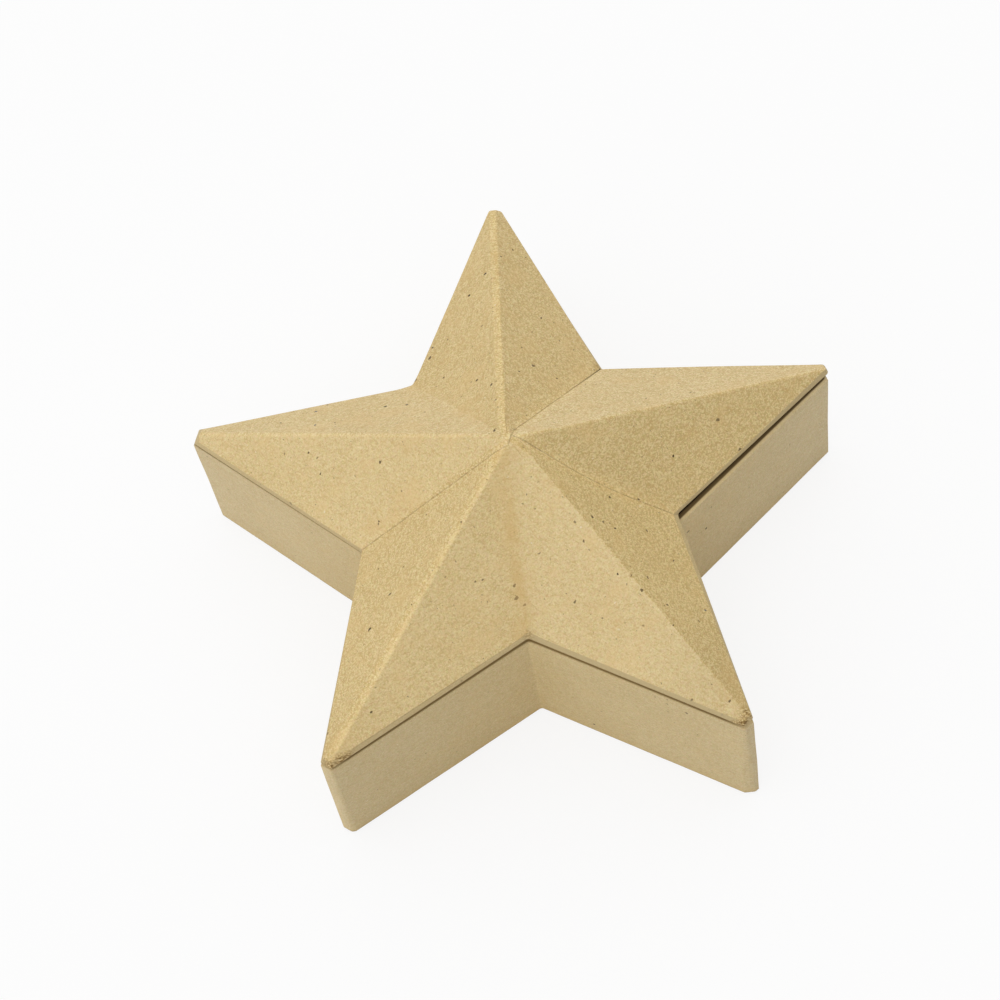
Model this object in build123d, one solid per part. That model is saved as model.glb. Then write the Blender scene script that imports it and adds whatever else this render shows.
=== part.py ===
"""Star-shaped gift box of kraft board: a base with a lift-off lid whose roof is a ten-facet star.

The box stands on z = 0 with its axis on Z, and one arm of the star points along +Y.
The lid rests on the top edge of the base, and a collar inside the lid drops into the base to locate it.
Lengths are in millimetres, angles in degrees.
"""

import os
from math import atan2, cos, degrees, hypot, radians, sin, tan

from build123d import *

# Star outline, measured to the sharp corners that the folds round off
ARM_COUNT = 5
TIP_RADIUS = 100.0
NOTCH_RADIUS = 46.3

# Heights
WALL_HEIGHT = 42.8
ROOF_RISE = 27.5
COLLAR_DEPTH = 16.0

# Board thicknesses
WALL_BOARD = 2.0
FLOOR_BOARD = 2.0
ROOF_BOARD = 2.5
COLLAR_BOARD = 1.5

# Folds and edges: a fold's radius is on its hollow side, and its outer side adds the board
FOLD_RADIUS = 0.4
WRAPPED_EDGE = 0.4
SEAT_WIDTH = 1.0

# Fits
COLLAR_CLEARANCE = 1.5
GLUE_LINE = 0.1
SEAM_GAP = 0.2

# Arms, as steps anticlockwise from the one along +Y
BACK, LEFT, FRONT_LEFT, FRONT_RIGHT, RIGHT = range(ARM_COUNT)
BACK_ANGLE = 90.0
ROOF_PANELS = {
    "lid_roof_back_left": [BACK, LEFT],
    "lid_roof_front": [FRONT_LEFT, FRONT_RIGHT],
    "lid_roof_right": [RIGHT],
}

# Worked out from the sizes above
ARM_STEP = 360.0 / ARM_COUNT
HALF_STEP = ARM_STEP / 2
NOTCH_X = NOTCH_RADIUS * cos(radians(HALF_STEP))
NOTCH_Y = NOTCH_RADIUS * sin(radians(HALF_STEP))
EDGE_LENGTH = hypot(TIP_RADIUS - NOTCH_X, NOTCH_Y)
EDGE_DISTANCE = TIP_RADIUS * NOTCH_Y / EDGE_LENGTH
ROOF_SLOPE = degrees(atan2(ROOF_RISE, EDGE_DISTANCE))
RIDGE_SLOPE = degrees(atan2(ROOF_RISE, TIP_RADIUS))
RIM_HEIGHT = ROOF_BOARD / cos(radians(ROOF_SLOPE)) - SEAT_WIDTH * tan(radians(ROOF_SLOPE))
APEX_HEIGHT = WALL_HEIGHT + RIM_HEIGHT + ROOF_RISE
WALL_EDGE_ROUND = min(WRAPPED_EDGE, 0.45 * WALL_BOARD)
RIM_EDGE_ROUND = min(WRAPPED_EDGE, 0.45 * RIM_HEIGHT)
REACH = 2 * (TIP_RADIUS + APEX_HEIGHT)


def star_outline(inset, tip_round, notch_round):
    """Star face whose ten edges lie inset inside the sharp outline, with rounded tips and notches.

    All edges are equally far from the axis, so moving them in by one distance is a change of scale.
    """
    share = (EDGE_DISTANCE - inset) / EDGE_DISTANCE
    corners = []
    for arm in range(ARM_COUNT):
        tip_angle = BACK_ANGLE + arm * ARM_STEP
        corners.append(Vector(share * TIP_RADIUS, 0).rotate(Axis.Z, tip_angle))
        corners.append(Vector(share * NOTCH_RADIUS, 0).rotate(Axis.Z, tip_angle + HALF_STEP))
    star = Sketch() + make_face(Polyline(*corners, close=True))
    between = share * (TIP_RADIUS + NOTCH_RADIUS) / 2
    star = fillet([corner for corner in star.vertices() if Vector(corner).length > between], tip_round)
    return fillet([corner for corner in star.vertices() if Vector(corner).length < between], notch_round)


def folded_band(inset, board):
    """Plan of a strip of board folded round the star, its outer face lying inset inside the outline.

    A tip folds the strip outwards and a notch folds it inwards, so the rounding swaps sides between them.
    """
    outer = star_outline(inset, FOLD_RADIUS + board, FOLD_RADIUS)
    inner = star_outline(inset + board, FOLD_RADIUS, FOLD_RADIUS + board)
    return outer - inner


def base_wall():
    """The strip that stands round the base, its outer top edge rounded over by the paper and its foot eased."""
    wall = extrude(folded_band(0, WALL_BOARD), WALL_HEIGHT)
    top = wall.faces().sort_by(Axis.Z)[-1]
    wall = fillet(top.outer_wire().edges(), WALL_EDGE_ROUND)
    bottom = wall.faces().sort_by(Axis.Z)[0]
    return chamfer(bottom.outer_wire().edges(), WALL_EDGE_ROUND)


def base_floor():
    """The star-shaped bottom board, glued inside the foot of the wall and flush with it."""
    plan = star_outline(WALL_BOARD + GLUE_LINE, FOLD_RADIUS, FOLD_RADIUS + WALL_BOARD)
    return extrude(plan, FLOOR_BOARD)


def facet_fall():
    """Fall of a roof facet for each millimetre across its arm, measured square to the ridge."""
    tip = Vector(TIP_RADIUS, 0, -ROOF_RISE)
    notch = Vector(NOTCH_X, NOTCH_Y, -ROOF_RISE)
    normal = tip.cross(notch)
    square_to_ridge = Vector(sin(radians(RIDGE_SLOPE)), 0, cos(radians(RIDGE_SLOPE)))
    return normal.Y / normal.dot(square_to_ridge)


def under_gable(arm, sink, ridge_round):
    """Everything below one arm's gable, whose slopes lie sink below the outer facets and run on past the rim."""
    fall = facet_fall()
    peak = -sink * hypot(1, fall)
    foot = peak - REACH
    half_width = REACH / fall
    section = make_face(Polyline((-half_width, foot), (0, peak), (half_width, foot), close=True))
    section = fillet(section.vertices().sort_by(Axis.Y)[-1], ridge_round)
    turn = BACK_ANGLE + arm * ARM_STEP
    outward = Vector(cos(radians(RIDGE_SLOPE)), 0, -sin(radians(RIDGE_SLOPE))).rotate(Axis.Z, turn)
    across = Vector(0, 1, 0).rotate(Axis.Z, turn)
    square_to_ridge = Plane(origin=(0, 0, APEX_HEIGHT), x_dir=across, z_dir=outward)
    return extrude(square_to_ridge * section, REACH, both=True)


def arm_sector(arm, near_gap, far_gap):
    """Upright wedge that holds one arm, each side drawn back from its valley by a gap."""
    half = radians(HALF_STEP)
    corner = Vector((near_gap + far_gap) / (2 * sin(half)), (near_gap - far_gap) / (2 * cos(half)))
    near_side = corner + Vector(cos(half), -sin(half)) * REACH
    far_side = corner + Vector(cos(half), sin(half)) * REACH
    wedge = extrude(make_face(Polyline(corner, near_side, far_side, close=True)), REACH)
    return Rot(0, 0, BACK_ANGLE + arm * ARM_STEP) * wedge


def rim_prism():
    """Upright prism over the lid's outline, standing on the seat with its lower edge rounded."""
    outline = star_outline(0, FOLD_RADIUS + WALL_BOARD, FOLD_RADIUS)
    prism = Pos(0, 0, WALL_HEIGHT) * extrude(outline, REACH)
    seat = prism.faces().sort_by(Axis.Z)[0]
    return fillet(seat.edges(), RIM_EDGE_ROUND)


def roof_panel(panel, prism):
    """One sheet of the roof: neighbouring arms of folded board, cut to the rim, the seat and the seams."""
    sheet = Part()
    for arm in panel:
        near_gap = 0 if (arm - 1) % ARM_COUNT in panel else SEAM_GAP / 2
        far_gap = 0 if (arm + 1) % ARM_COUNT in panel else SEAM_GAP / 2
        outside = under_gable(arm, 0, FOLD_RADIUS + ROOF_BOARD)
        hollow = under_gable(arm, ROOF_BOARD, FOLD_RADIUS)
        sheet += (outside - hollow) & arm_sector(arm, near_gap, far_gap) & prism
    return sheet


def lid_collar():
    """The strip folded inside the lid: its top is glued under the roof and its foot drops into the base."""
    band = folded_band(WALL_BOARD + COLLAR_CLEARANCE, COLLAR_BOARD)
    strip = Pos(0, 0, WALL_HEIGHT - COLLAR_DEPTH) * extrude(band, REACH)
    collar = Part()
    for arm in range(ARM_COUNT):
        collar += strip & under_gable(arm, ROOF_BOARD + GLUE_LINE, FOLD_RADIUS) & arm_sector(arm, 0, 0)
    return collar


def main():
    """Builds every piece in its place and writes one file for each."""
    prism = rim_prism()
    pieces = {
        "base_wall": base_wall(),
        "base_floor": base_floor(),
        "lid_collar": lid_collar(),
    }
    for name, panel in ROOF_PANELS.items():
        pieces[name] = roof_panel(panel, prism)
    os.makedirs("parts", exist_ok=True)
    for name, piece in pieces.items():
        piece.label = name
        export_step(piece, f"parts/{name}.step")
        print(name, len(piece.solids()), "solid", round(piece.volume), "mm3")


main()
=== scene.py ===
"""Star-shaped kraft gift box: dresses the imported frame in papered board, and sets its studio and camera.

Lengths are in millimetres until they reach a mesh, a lamp or the camera, which take metres, and angles are
in degrees. The star's corners are numbered anticlockwise from the back tip, so tips are even and notches odd,
and side or facet i runs from corner i to corner i + 1.
"""

import logging
from dataclasses import dataclass, field
from enum import Enum, IntEnum
from typing import Any, Mapping, Optional, Sequence, Union

import bpy
import numpy as np
from mathutils import Matrix, Vector

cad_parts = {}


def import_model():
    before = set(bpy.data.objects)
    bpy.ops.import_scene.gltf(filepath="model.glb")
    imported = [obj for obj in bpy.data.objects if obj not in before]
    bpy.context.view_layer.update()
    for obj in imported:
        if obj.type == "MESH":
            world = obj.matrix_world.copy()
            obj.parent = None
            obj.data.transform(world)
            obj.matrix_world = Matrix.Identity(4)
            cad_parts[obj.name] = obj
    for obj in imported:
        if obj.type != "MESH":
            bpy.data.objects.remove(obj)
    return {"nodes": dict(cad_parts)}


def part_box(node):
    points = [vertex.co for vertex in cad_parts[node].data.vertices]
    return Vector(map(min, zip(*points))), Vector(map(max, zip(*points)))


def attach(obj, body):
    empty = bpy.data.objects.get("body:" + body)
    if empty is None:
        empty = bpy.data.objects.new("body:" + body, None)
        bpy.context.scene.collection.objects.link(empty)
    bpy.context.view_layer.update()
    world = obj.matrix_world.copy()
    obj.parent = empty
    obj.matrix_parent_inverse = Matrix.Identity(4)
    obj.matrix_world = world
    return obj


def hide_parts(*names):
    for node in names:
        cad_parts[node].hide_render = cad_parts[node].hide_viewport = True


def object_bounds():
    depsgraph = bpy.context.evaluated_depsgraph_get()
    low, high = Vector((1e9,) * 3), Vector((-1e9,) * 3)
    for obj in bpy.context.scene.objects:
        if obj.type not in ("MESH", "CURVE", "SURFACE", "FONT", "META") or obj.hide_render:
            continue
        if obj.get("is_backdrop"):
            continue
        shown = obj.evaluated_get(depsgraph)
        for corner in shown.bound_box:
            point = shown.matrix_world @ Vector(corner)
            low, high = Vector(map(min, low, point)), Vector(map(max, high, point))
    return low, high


log = logging.getLogger("star_box")

MM = 0.001
CORNERS = 10
HALF_STEP = 360.0 / CORNERS
BACK_ANGLE = 90.0

# Seeds of the uneven surfaces
ROOF_SWELL_SEED = 5
ROOF_DIMPLE_SEED = 6
BAND_BOW_SEED = 11
BAND_FOOT_SEED = 12

# Ends and middle of the line in plan on which the roof's sheets meet at the apex
APEX_BACK = (2.29, 4.27)
APEX_MIDDLE = (1.19, 1.30)
APEX_FRONT = (0.30, -1.81)

# The painted shade of the slot under the lip is left out at the two worn front tips, and grows in from one
# distance over another
WORN_TIP = 4.0
WORN_FADE = 6.0

Colour = tuple[float, float, float, float]
WHITE: Colour = (1.0, 1.0, 1.0, 1.0)


class Corner(IntEnum):
    """Corners of the star, anticlockwise from the back tip."""

    BACK = 0
    BACK_LEFT_NOTCH = 1
    LEFT = 2
    LEFT_NOTCH = 3
    FRONT_LEFT = 4
    FRONT_NOTCH = 5
    FRONT_RIGHT = 6
    RIGHT_NOTCH = 7
    RIGHT = 8
    BACK_RIGHT_NOTCH = 9


class Body(Enum):
    """Bodies of the frame that pieces ride on."""

    BASE = "base"
    LID = "lid"


def ripple(points: np.ndarray, wavelength: float, seed: int, waves: int = 28) -> np.ndarray:
    """Smooth uneven field: the sum of sine waves that run in random directions.

    Args:
        points: Places in millimetres, with the coordinates on the last axis.
        wavelength: Middle length of the waves; single ones are 0.7 to 1.4 times as long.
        seed: Seed of the draws.
        waves: How many waves are added up.

    Returns:
        One value for each place, with mean 0 and standard deviation about 1.
    """
    draws = np.random.default_rng(seed)
    headings = draws.normal(size=(waves, points.shape[-1]))
    headings /= np.linalg.norm(headings, axis=1, keepdims=True)
    lengths = wavelength * draws.uniform(0.7, 1.4, size=(waves, 1))
    phases = draws.uniform(0.0, 2.0 * np.pi, size=waves)
    field_sum = np.sin(points @ (2.0 * np.pi * headings / lengths).T + phases).sum(axis=-1)
    return field_sum * np.sqrt(2.0 / waves)


def bell(distance: np.ndarray, reach: float) -> np.ndarray:
    """Bell curve: 1 where the distance is 0, falling to 0.37 at the reach."""
    return np.exp(-((distance / reach) ** 2))


def lower_of(first: np.ndarray, second: np.ndarray, blend: float) -> np.ndarray:
    """Smooth minimum: the lower value, less a parabola where the two differ by under the blend.

    Args:
        first: One field of heights.
        second: The other field.
        blend: Difference in height below which the two are blended.

    Returns:
        The blended field, lowest by a quarter of the blend where the two are equal.
    """
    close = np.clip(1.0 - np.abs(first - second) / blend, 0.0, None)
    return np.minimum(first, second) - close**2 * blend / 4.0


def upper_of(first: np.ndarray, second: np.ndarray, blend: float) -> np.ndarray:
    """Smooth maximum, the mirror image of lower_of."""
    return -lower_of(-first, -second, blend)


def crowded(count: int, ends: float) -> np.ndarray:
    """Shares from 0 to 1 that crowd towards both ends: an even share mixed with a half cosine.

    Args:
        count: How many shares, both ends included.
        ends: Part of the half cosine in the mix, from 0, even, to 1.

    Returns:
        The rising shares.
    """
    even = np.linspace(0.0, 1.0, count)
    return (1.0 - ends) * even + ends * (1.0 - np.cos(np.pi * even)) / 2.0


def by_corner(values: Mapping[int, Any], default: Any) -> np.ndarray:
    """One value for each corner, side or facet, which is the default where the mapping has none."""
    return np.array([values.get(number, default) for number in range(CORNERS)])


def field_by_corner(values: Mapping[int, Any], name: str, default: float = 0.0) -> np.ndarray:
    """One field of what each corner, side or facet has, and the default where the mapping has nothing."""
    return by_corner({number: getattr(value, name) for number, value in values.items()}, default)


def left_of(vectors: np.ndarray) -> np.ndarray:
    """Vectors in plan turned a quarter turn anticlockwise."""
    return np.stack([-vectors[..., 1], vectors[..., 0]], axis=-1)


def outward(run: np.ndarray) -> np.ndarray:
    """Unit vectors square to a closed anticlockwise run in plan, one for each place, away from its inside."""
    along = np.roll(run, -1, axis=0) - np.roll(run, 1, axis=0)
    return -left_of(along / np.linalg.norm(along, axis=1, keepdims=True))


def travelled(run: np.ndarray) -> np.ndarray:
    """Length along a run from its start to each of its places."""
    steps = np.linalg.norm(np.diff(run, axis=0), axis=1)
    return np.concatenate([[0.0], np.cumsum(steps)])


def cells(number: np.ndarray) -> np.ndarray:
    """Four corner numbers for each cell of a grid of numbered places."""
    corners = [number[:-1, :-1], number[:-1, 1:], number[1:, 1:], number[1:, :-1]]
    return np.stack(corners, axis=-1).reshape(-1, 4)


def add_object(name: str, data: bpy.types.ID) -> bpy.types.Object:
    """Puts a mesh, a lamp or a camera into the scene, at the origin.

    Args:
        name: Name of the object.
        data: What it shows.

    Returns:
        The new object.
    """
    added = bpy.data.objects.new(name, data)
    bpy.context.scene.collection.objects.link(added)
    return added


def settle(piece: bpy.types.Object, body: Body, node: str) -> None:
    """Rides a piece on its body and lets it stand for its node.

    Args:
        piece: The new piece.
        body: Body that carries it.
        node: Frame node that it replaces.
    """
    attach(piece, body.value)
    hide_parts(node)
    log.info("%s: %d faces on %s, for %s", piece.name, len(piece.data.polygons), body.value, node)


@dataclass(frozen=True)
class StarPlan:
    """Plan of a star of ten sides, with flat noses at its tips and small folds at its notches.

    All sides lie equally far from the axis, so moving them in by an inset scales the sharp star. A nose cuts
    its tip off square to the arm: each of the tip's two sides ends a cut's length before the sharp corner.
    """

    nudges: Mapping[int, tuple[float, float]] = field(default_factory=dict)
    nose_cuts: Mapping[int, float] = field(default_factory=dict)
    nose_rounds: Mapping[int, float] = field(default_factory=dict)
    inset: float = 0.0
    tip_radius: float = 100.0
    notch_radius: float = 46.3
    nose_cut: float = 4.4
    nose_round: float = 0.5
    notch_round: float = 0.4
    least_cut: float = 0.5
    least_round: float = 0.12
    arc_points: int = 9
    nose_points: int = 7
    side_steps: int = 56
    side_crowding: float = 0.75

    @property
    def corner_steps(self) -> int:
        """Steps along one corner, the same at tips and notches."""
        return 2 * self.arc_points + self.nose_points - 1

    @property
    def steps(self) -> int:
        """Steps from the middle of one corner to the middle of the next."""
        return self.corner_steps + self.side_steps

    @property
    def side_distance(self) -> float:
        """Distance of every side from the axis."""
        notch = self.notch_radius * np.exp(1j * np.radians(HALF_STEP))
        return float(self.tip_radius * notch.imag / abs(notch - self.tip_radius))

    def corners(self, inset: float = 0.0) -> np.ndarray:
        """Sharp corners of the star.

        Args:
            inset: How far the sides lie inside the star's own.

        Returns:
            Ten places in plan.
        """
        number = np.arange(CORNERS)
        turn = np.radians(BACK_ANGLE + HALF_STEP * number)
        radius = np.where(number % 2 == 0, self.tip_radius, self.notch_radius)
        radius = radius * (1.0 - (self.inset + inset) / self.side_distance)
        plan = np.stack([radius * np.cos(turn), radius * np.sin(turn)], axis=-1)
        return plan + by_corner(self.nudges, (0.0, 0.0))

    @staticmethod
    def arcs(
        corners: np.ndarray,
        before: np.ndarray,
        after: np.ndarray,
        radius: np.ndarray,
        count: int,
    ) -> np.ndarray:
        """Arcs that round sharp corners.

        An arc starts a tangent length before its corner, which is the radius times the tangent of half the
        turn, and swings about a centre that lies one radius square to the side it comes from.

        Args:
            corners: Sharp corners.
            before: Unit vectors along the sides that come in.
            after: Unit vectors along the sides that go out.
            radius: Radius of each arc.
            count: Places on each arc.

        Returns:
            Places, as corners by count by two.
        """
        crossing = before[:, 0] * after[:, 1] - before[:, 1] * after[:, 0]
        turn = np.arctan2(crossing, (before * after).sum(axis=1))
        start = corners - before * (radius * np.tan(np.abs(turn) / 2.0))[:, None]
        centre = start + left_of(before) * np.sign(turn)[:, None] * radius[:, None]
        spoke = (start - centre)[:, None]
        swing = (np.linspace(0.0, 1.0, count) * turn[:, None])[..., None]
        return centre[:, None] + spoke * np.cos(swing) + left_of(spoke) * np.sin(swing)

    def folds(self, inset: float) -> np.ndarray:
        """Places round every corner: two arcs and the flat between them at a tip, one arc at a notch.

        A parallel sheet's nose is narrower: its cut shrinks by the inset times what the tip moves in more
        than the nose does.

        Args:
            inset: How far the places lie inside the outline.

        Returns:
            Places, as corners by places by two.
        """
        corners = self.corners(inset)
        ahead = np.roll(corners, -1, axis=0) - corners
        ahead /= np.linalg.norm(ahead, axis=1, keepdims=True)
        behind = np.roll(ahead, 1, axis=0)
        half_tip = np.arcsin(self.side_distance / self.tip_radius)
        shrink = (1.0 / np.sin(half_tip) - 1.0) / np.cos(half_tip)
        cuts = by_corner(self.nose_cuts, self.nose_cut) - inset * shrink
        cuts = np.maximum(cuts, self.least_cut)[:, None]
        near, far = corners - behind * cuts, corners + ahead * cuts
        across = far - near
        across /= np.linalg.norm(across, axis=1, keepdims=True)
        nose_round = np.maximum(by_corner(self.nose_rounds, self.nose_round) - inset, self.least_round)
        first = self.arcs(near, behind, across, nose_round, self.arc_points)
        second = self.arcs(far, across, ahead, nose_round, self.arc_points)
        share = np.linspace(0.0, 1.0, self.nose_points + 2)[1:-1, None]
        flat = first[:, -1:] + (second[:, :1] - first[:, -1:]) * share
        tips = np.concatenate([first, flat, second], axis=1)
        notch_round = np.full(CORNERS, max(self.notch_round + inset, self.least_round))
        notches = self.arcs(corners, behind, ahead, notch_round, self.corner_steps + 1)
        is_tip = np.arange(CORNERS) % 2 == 0
        return np.where(is_tip[:, None, None], tips, notches)

    def run(self, first: int, last: int, inset: float = 0.0) -> np.ndarray:
        """Outline from the middle of one corner to the middle of another, anticlockwise.

        Args:
            first: Corner to start from.
            last: Corner to end at, counted on past the tenth where the run goes that far.
            inset: How far the run lies inside the outline.

        Returns:
            Places in plan, as many for every inset.
        """
        folds = self.folds(inset)
        share = crowded(self.side_steps + 1, self.side_crowding)[1:-1, None]
        start, end = folds[:, 0], folds[:, -1]
        sides = end[:, None] + (np.roll(start, -1, axis=0) - end)[:, None] * share
        half = self.corner_steps // 2
        stretches = [folds[first % CORNERS, half:]]
        for corner in range(first, last):
            fold = folds[(corner + 1) % CORNERS]
            stretches.append(sides[corner % CORNERS])
            stretches.append(fold[: half + 1] if corner + 1 == last else fold)
        return np.concatenate(stretches)

    def side_numbers(self) -> np.ndarray:
        """Number of the side that each place of the outline belongs to, shared out at a corner's middle."""
        return np.repeat(np.arange(CORNERS), self.steps)

    def between_corners(self, values: np.ndarray, first: int, last: int) -> np.ndarray:
        """Values along a run that pass evenly from one corner's value to the next one's.

        Args:
            values: One value for each of the ten corners.
            first: Corner that the run starts from.
            last: Corner that it ends at, counted as in run.

        Returns:
            One value for each place of the run.
        """
        knots = np.arange(last - first + 1) * self.steps
        return np.interp(np.arange(knots[-1] + 1), knots, values[np.arange(first, last + 1) % CORNERS])


def slot_shade_share(plan: np.ndarray, star: StarPlan) -> np.ndarray:
    """How strongly the slot under the lip gets its painted shade at each place: not at all at the two worn
    front tips.

    Args:
        plan: Places in plan.
        star: Star whose tips count.

    Returns:
        Shares from 0 to 1, rising evenly with the distance from the nearer of the two sharp tips.
    """
    tips = star.corners()[[Corner.FRONT_LEFT, Corner.FRONT_RIGHT]]
    apart = np.linalg.norm(plan[..., None, :] - tips, axis=-1).min(axis=-1)
    return np.clip((apart - WORN_TIP) / WORN_FADE, 0.0, 1.0)


@dataclass
class SheetGrid:
    """A closed sheet of board: a loop of rows, the profile, carried along columns.

    Rows run round the board's section and join up, so the sheet has a top, an edge and an underside. Columns
    either join up too, as on a band round the star, or end in flat caps, as on a roof panel.
    """

    name: str
    points: np.ndarray
    columns_close: bool
    masks: Mapping[str, np.ndarray]
    sharp_angle: float = 42.0

    def faces(self) -> np.ndarray:
        """Four corner numbers for each face: the grid's cells, then the caps between facing rows.

        Returns:
            Corner numbers, as faces by four.
        """
        rows, columns = self.points.shape[:2]
        number = np.arange(rows * columns).reshape(rows, columns)
        half = rows // 2
        top, bottom = number[:half], number[::-1][:half]
        looped = np.concatenate([number, number[:1]], axis=0)
        if self.columns_close:
            return cells(np.concatenate([looped, looped[:, :1]], axis=1))
        near = np.stack([top[:-1, 0], top[1:, 0], bottom[1:, 0], bottom[:-1, 0]], axis=-1)
        far = np.stack([top[:-1, -1], bottom[:-1, -1], bottom[1:, -1], top[1:, -1]], axis=-1)
        return np.concatenate([cells(looped), near, far])

    def build(self, low: np.ndarray, high: np.ndarray) -> bpy.types.Object:
        """Makes the mesh and its masks, kept inside a box and facing outwards.

        A closed mesh faces outwards where the tetrahedra from the origin to its faces add up to more than 0.

        Args:
            low: Lowest corner that the piece may reach, in millimetres.
            high: Highest corner.

        Returns:
            The new object, at the origin.
        """
        places = np.clip(self.points.reshape(-1, 3), low, high)
        faces = self.faces()
        corner = [places[faces[:, k]] for k in range(4)]
        spread = np.cross(corner[1] - corner[0], corner[2] - corner[0])
        spread += np.cross(corner[2] - corner[0], corner[3] - corner[0])
        if (spread * corner[0]).sum() < 0.0:
            faces = faces[:, ::-1]
        mesh = bpy.data.meshes.new(self.name)
        mesh.from_pydata((places * MM).tolist(), [], faces.tolist())
        mesh.polygons.foreach_set("use_smooth", np.ones(len(faces), dtype=bool))
        mesh.set_sharp_from_angle(angle=float(np.radians(self.sharp_angle)))
        for mask, values in self.masks.items():
            layer = mesh.attributes.new(mask, "FLOAT", "POINT")
            everywhere = np.broadcast_to(values, self.points.shape[:2]).astype(np.float32)
            layer.data.foreach_set("value", everywhere.ravel())
        mesh.update()
        return add_object(self.name, mesh)


Feed = Union["Wire", float, int, Sequence[float]]


class Wire:
    """A shader socket in a formula. Each operator adds one Math node to its tree."""

    def __init__(self, shader: "Shader", socket: bpy.types.NodeSocket) -> None:
        """Keeps the socket and the shader that it belongs to."""
        self.shader = shader
        self.socket = socket

    def join(self, operation: str, first: Feed, second: Feed, clamp: bool = False) -> "Wire":
        """Adds a Math node.

        Args:
            operation: The Math node's operation.
            first: First value or wire.
            second: Second value or wire.
            clamp: Whether the result is kept from 0 to 1.

        Returns:
            The node's result.
        """
        settings = {"operation": operation, "use_clamp": clamp}
        return self.shader.node("ShaderNodeMath", settings, {0: first, 1: second})

    def __add__(self, other: Feed) -> "Wire":
        """Sum."""
        return self.join("ADD", self, other)

    def __radd__(self, other: Feed) -> "Wire":
        """Sum with a number on the left."""
        return self.join("ADD", other, self)

    def __sub__(self, other: Feed) -> "Wire":
        """Difference."""
        return self.join("SUBTRACT", self, other)

    def __rsub__(self, other: Feed) -> "Wire":
        """Difference from a number."""
        return self.join("SUBTRACT", other, self)

    def __mul__(self, other: Feed) -> "Wire":
        """Product."""
        return self.join("MULTIPLY", self, other)

    def __rmul__(self, other: Feed) -> "Wire":
        """Product with a number on the left."""
        return self.join("MULTIPLY", other, self)

    def __truediv__(self, other: Feed) -> "Wire":
        """Quotient."""
        return self.join("DIVIDE", self, other)

    def __rtruediv__(self, other: Feed) -> "Wire":
        """Quotient of a number."""
        return self.join("DIVIDE", other, self)

    def below(self, limit: Feed) -> "Wire":
        """1 where the value lies below the limit, else 0."""
        return self.join("LESS_THAN", self, limit)

    def clamped(self) -> "Wire":
        """The value kept from 0 to 1."""
        return self.join("ADD", self, 0.0, clamp=True)

    def over(self, low: float, high: float) -> "Wire":
        """Smooth step from 0 at low to 1 at high; with low above high it falls instead."""
        inputs = {"Value": self, "From Min": low, "From Max": high}
        return self.shader.node("ShaderNodeMapRange", {"interpolation_type": "SMOOTHSTEP"}, inputs)

    def beside(self, output: str) -> "Wire":
        """Another output of the node that this one comes from."""
        return Wire(self.shader, self.socket.node.outputs[output])


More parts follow.
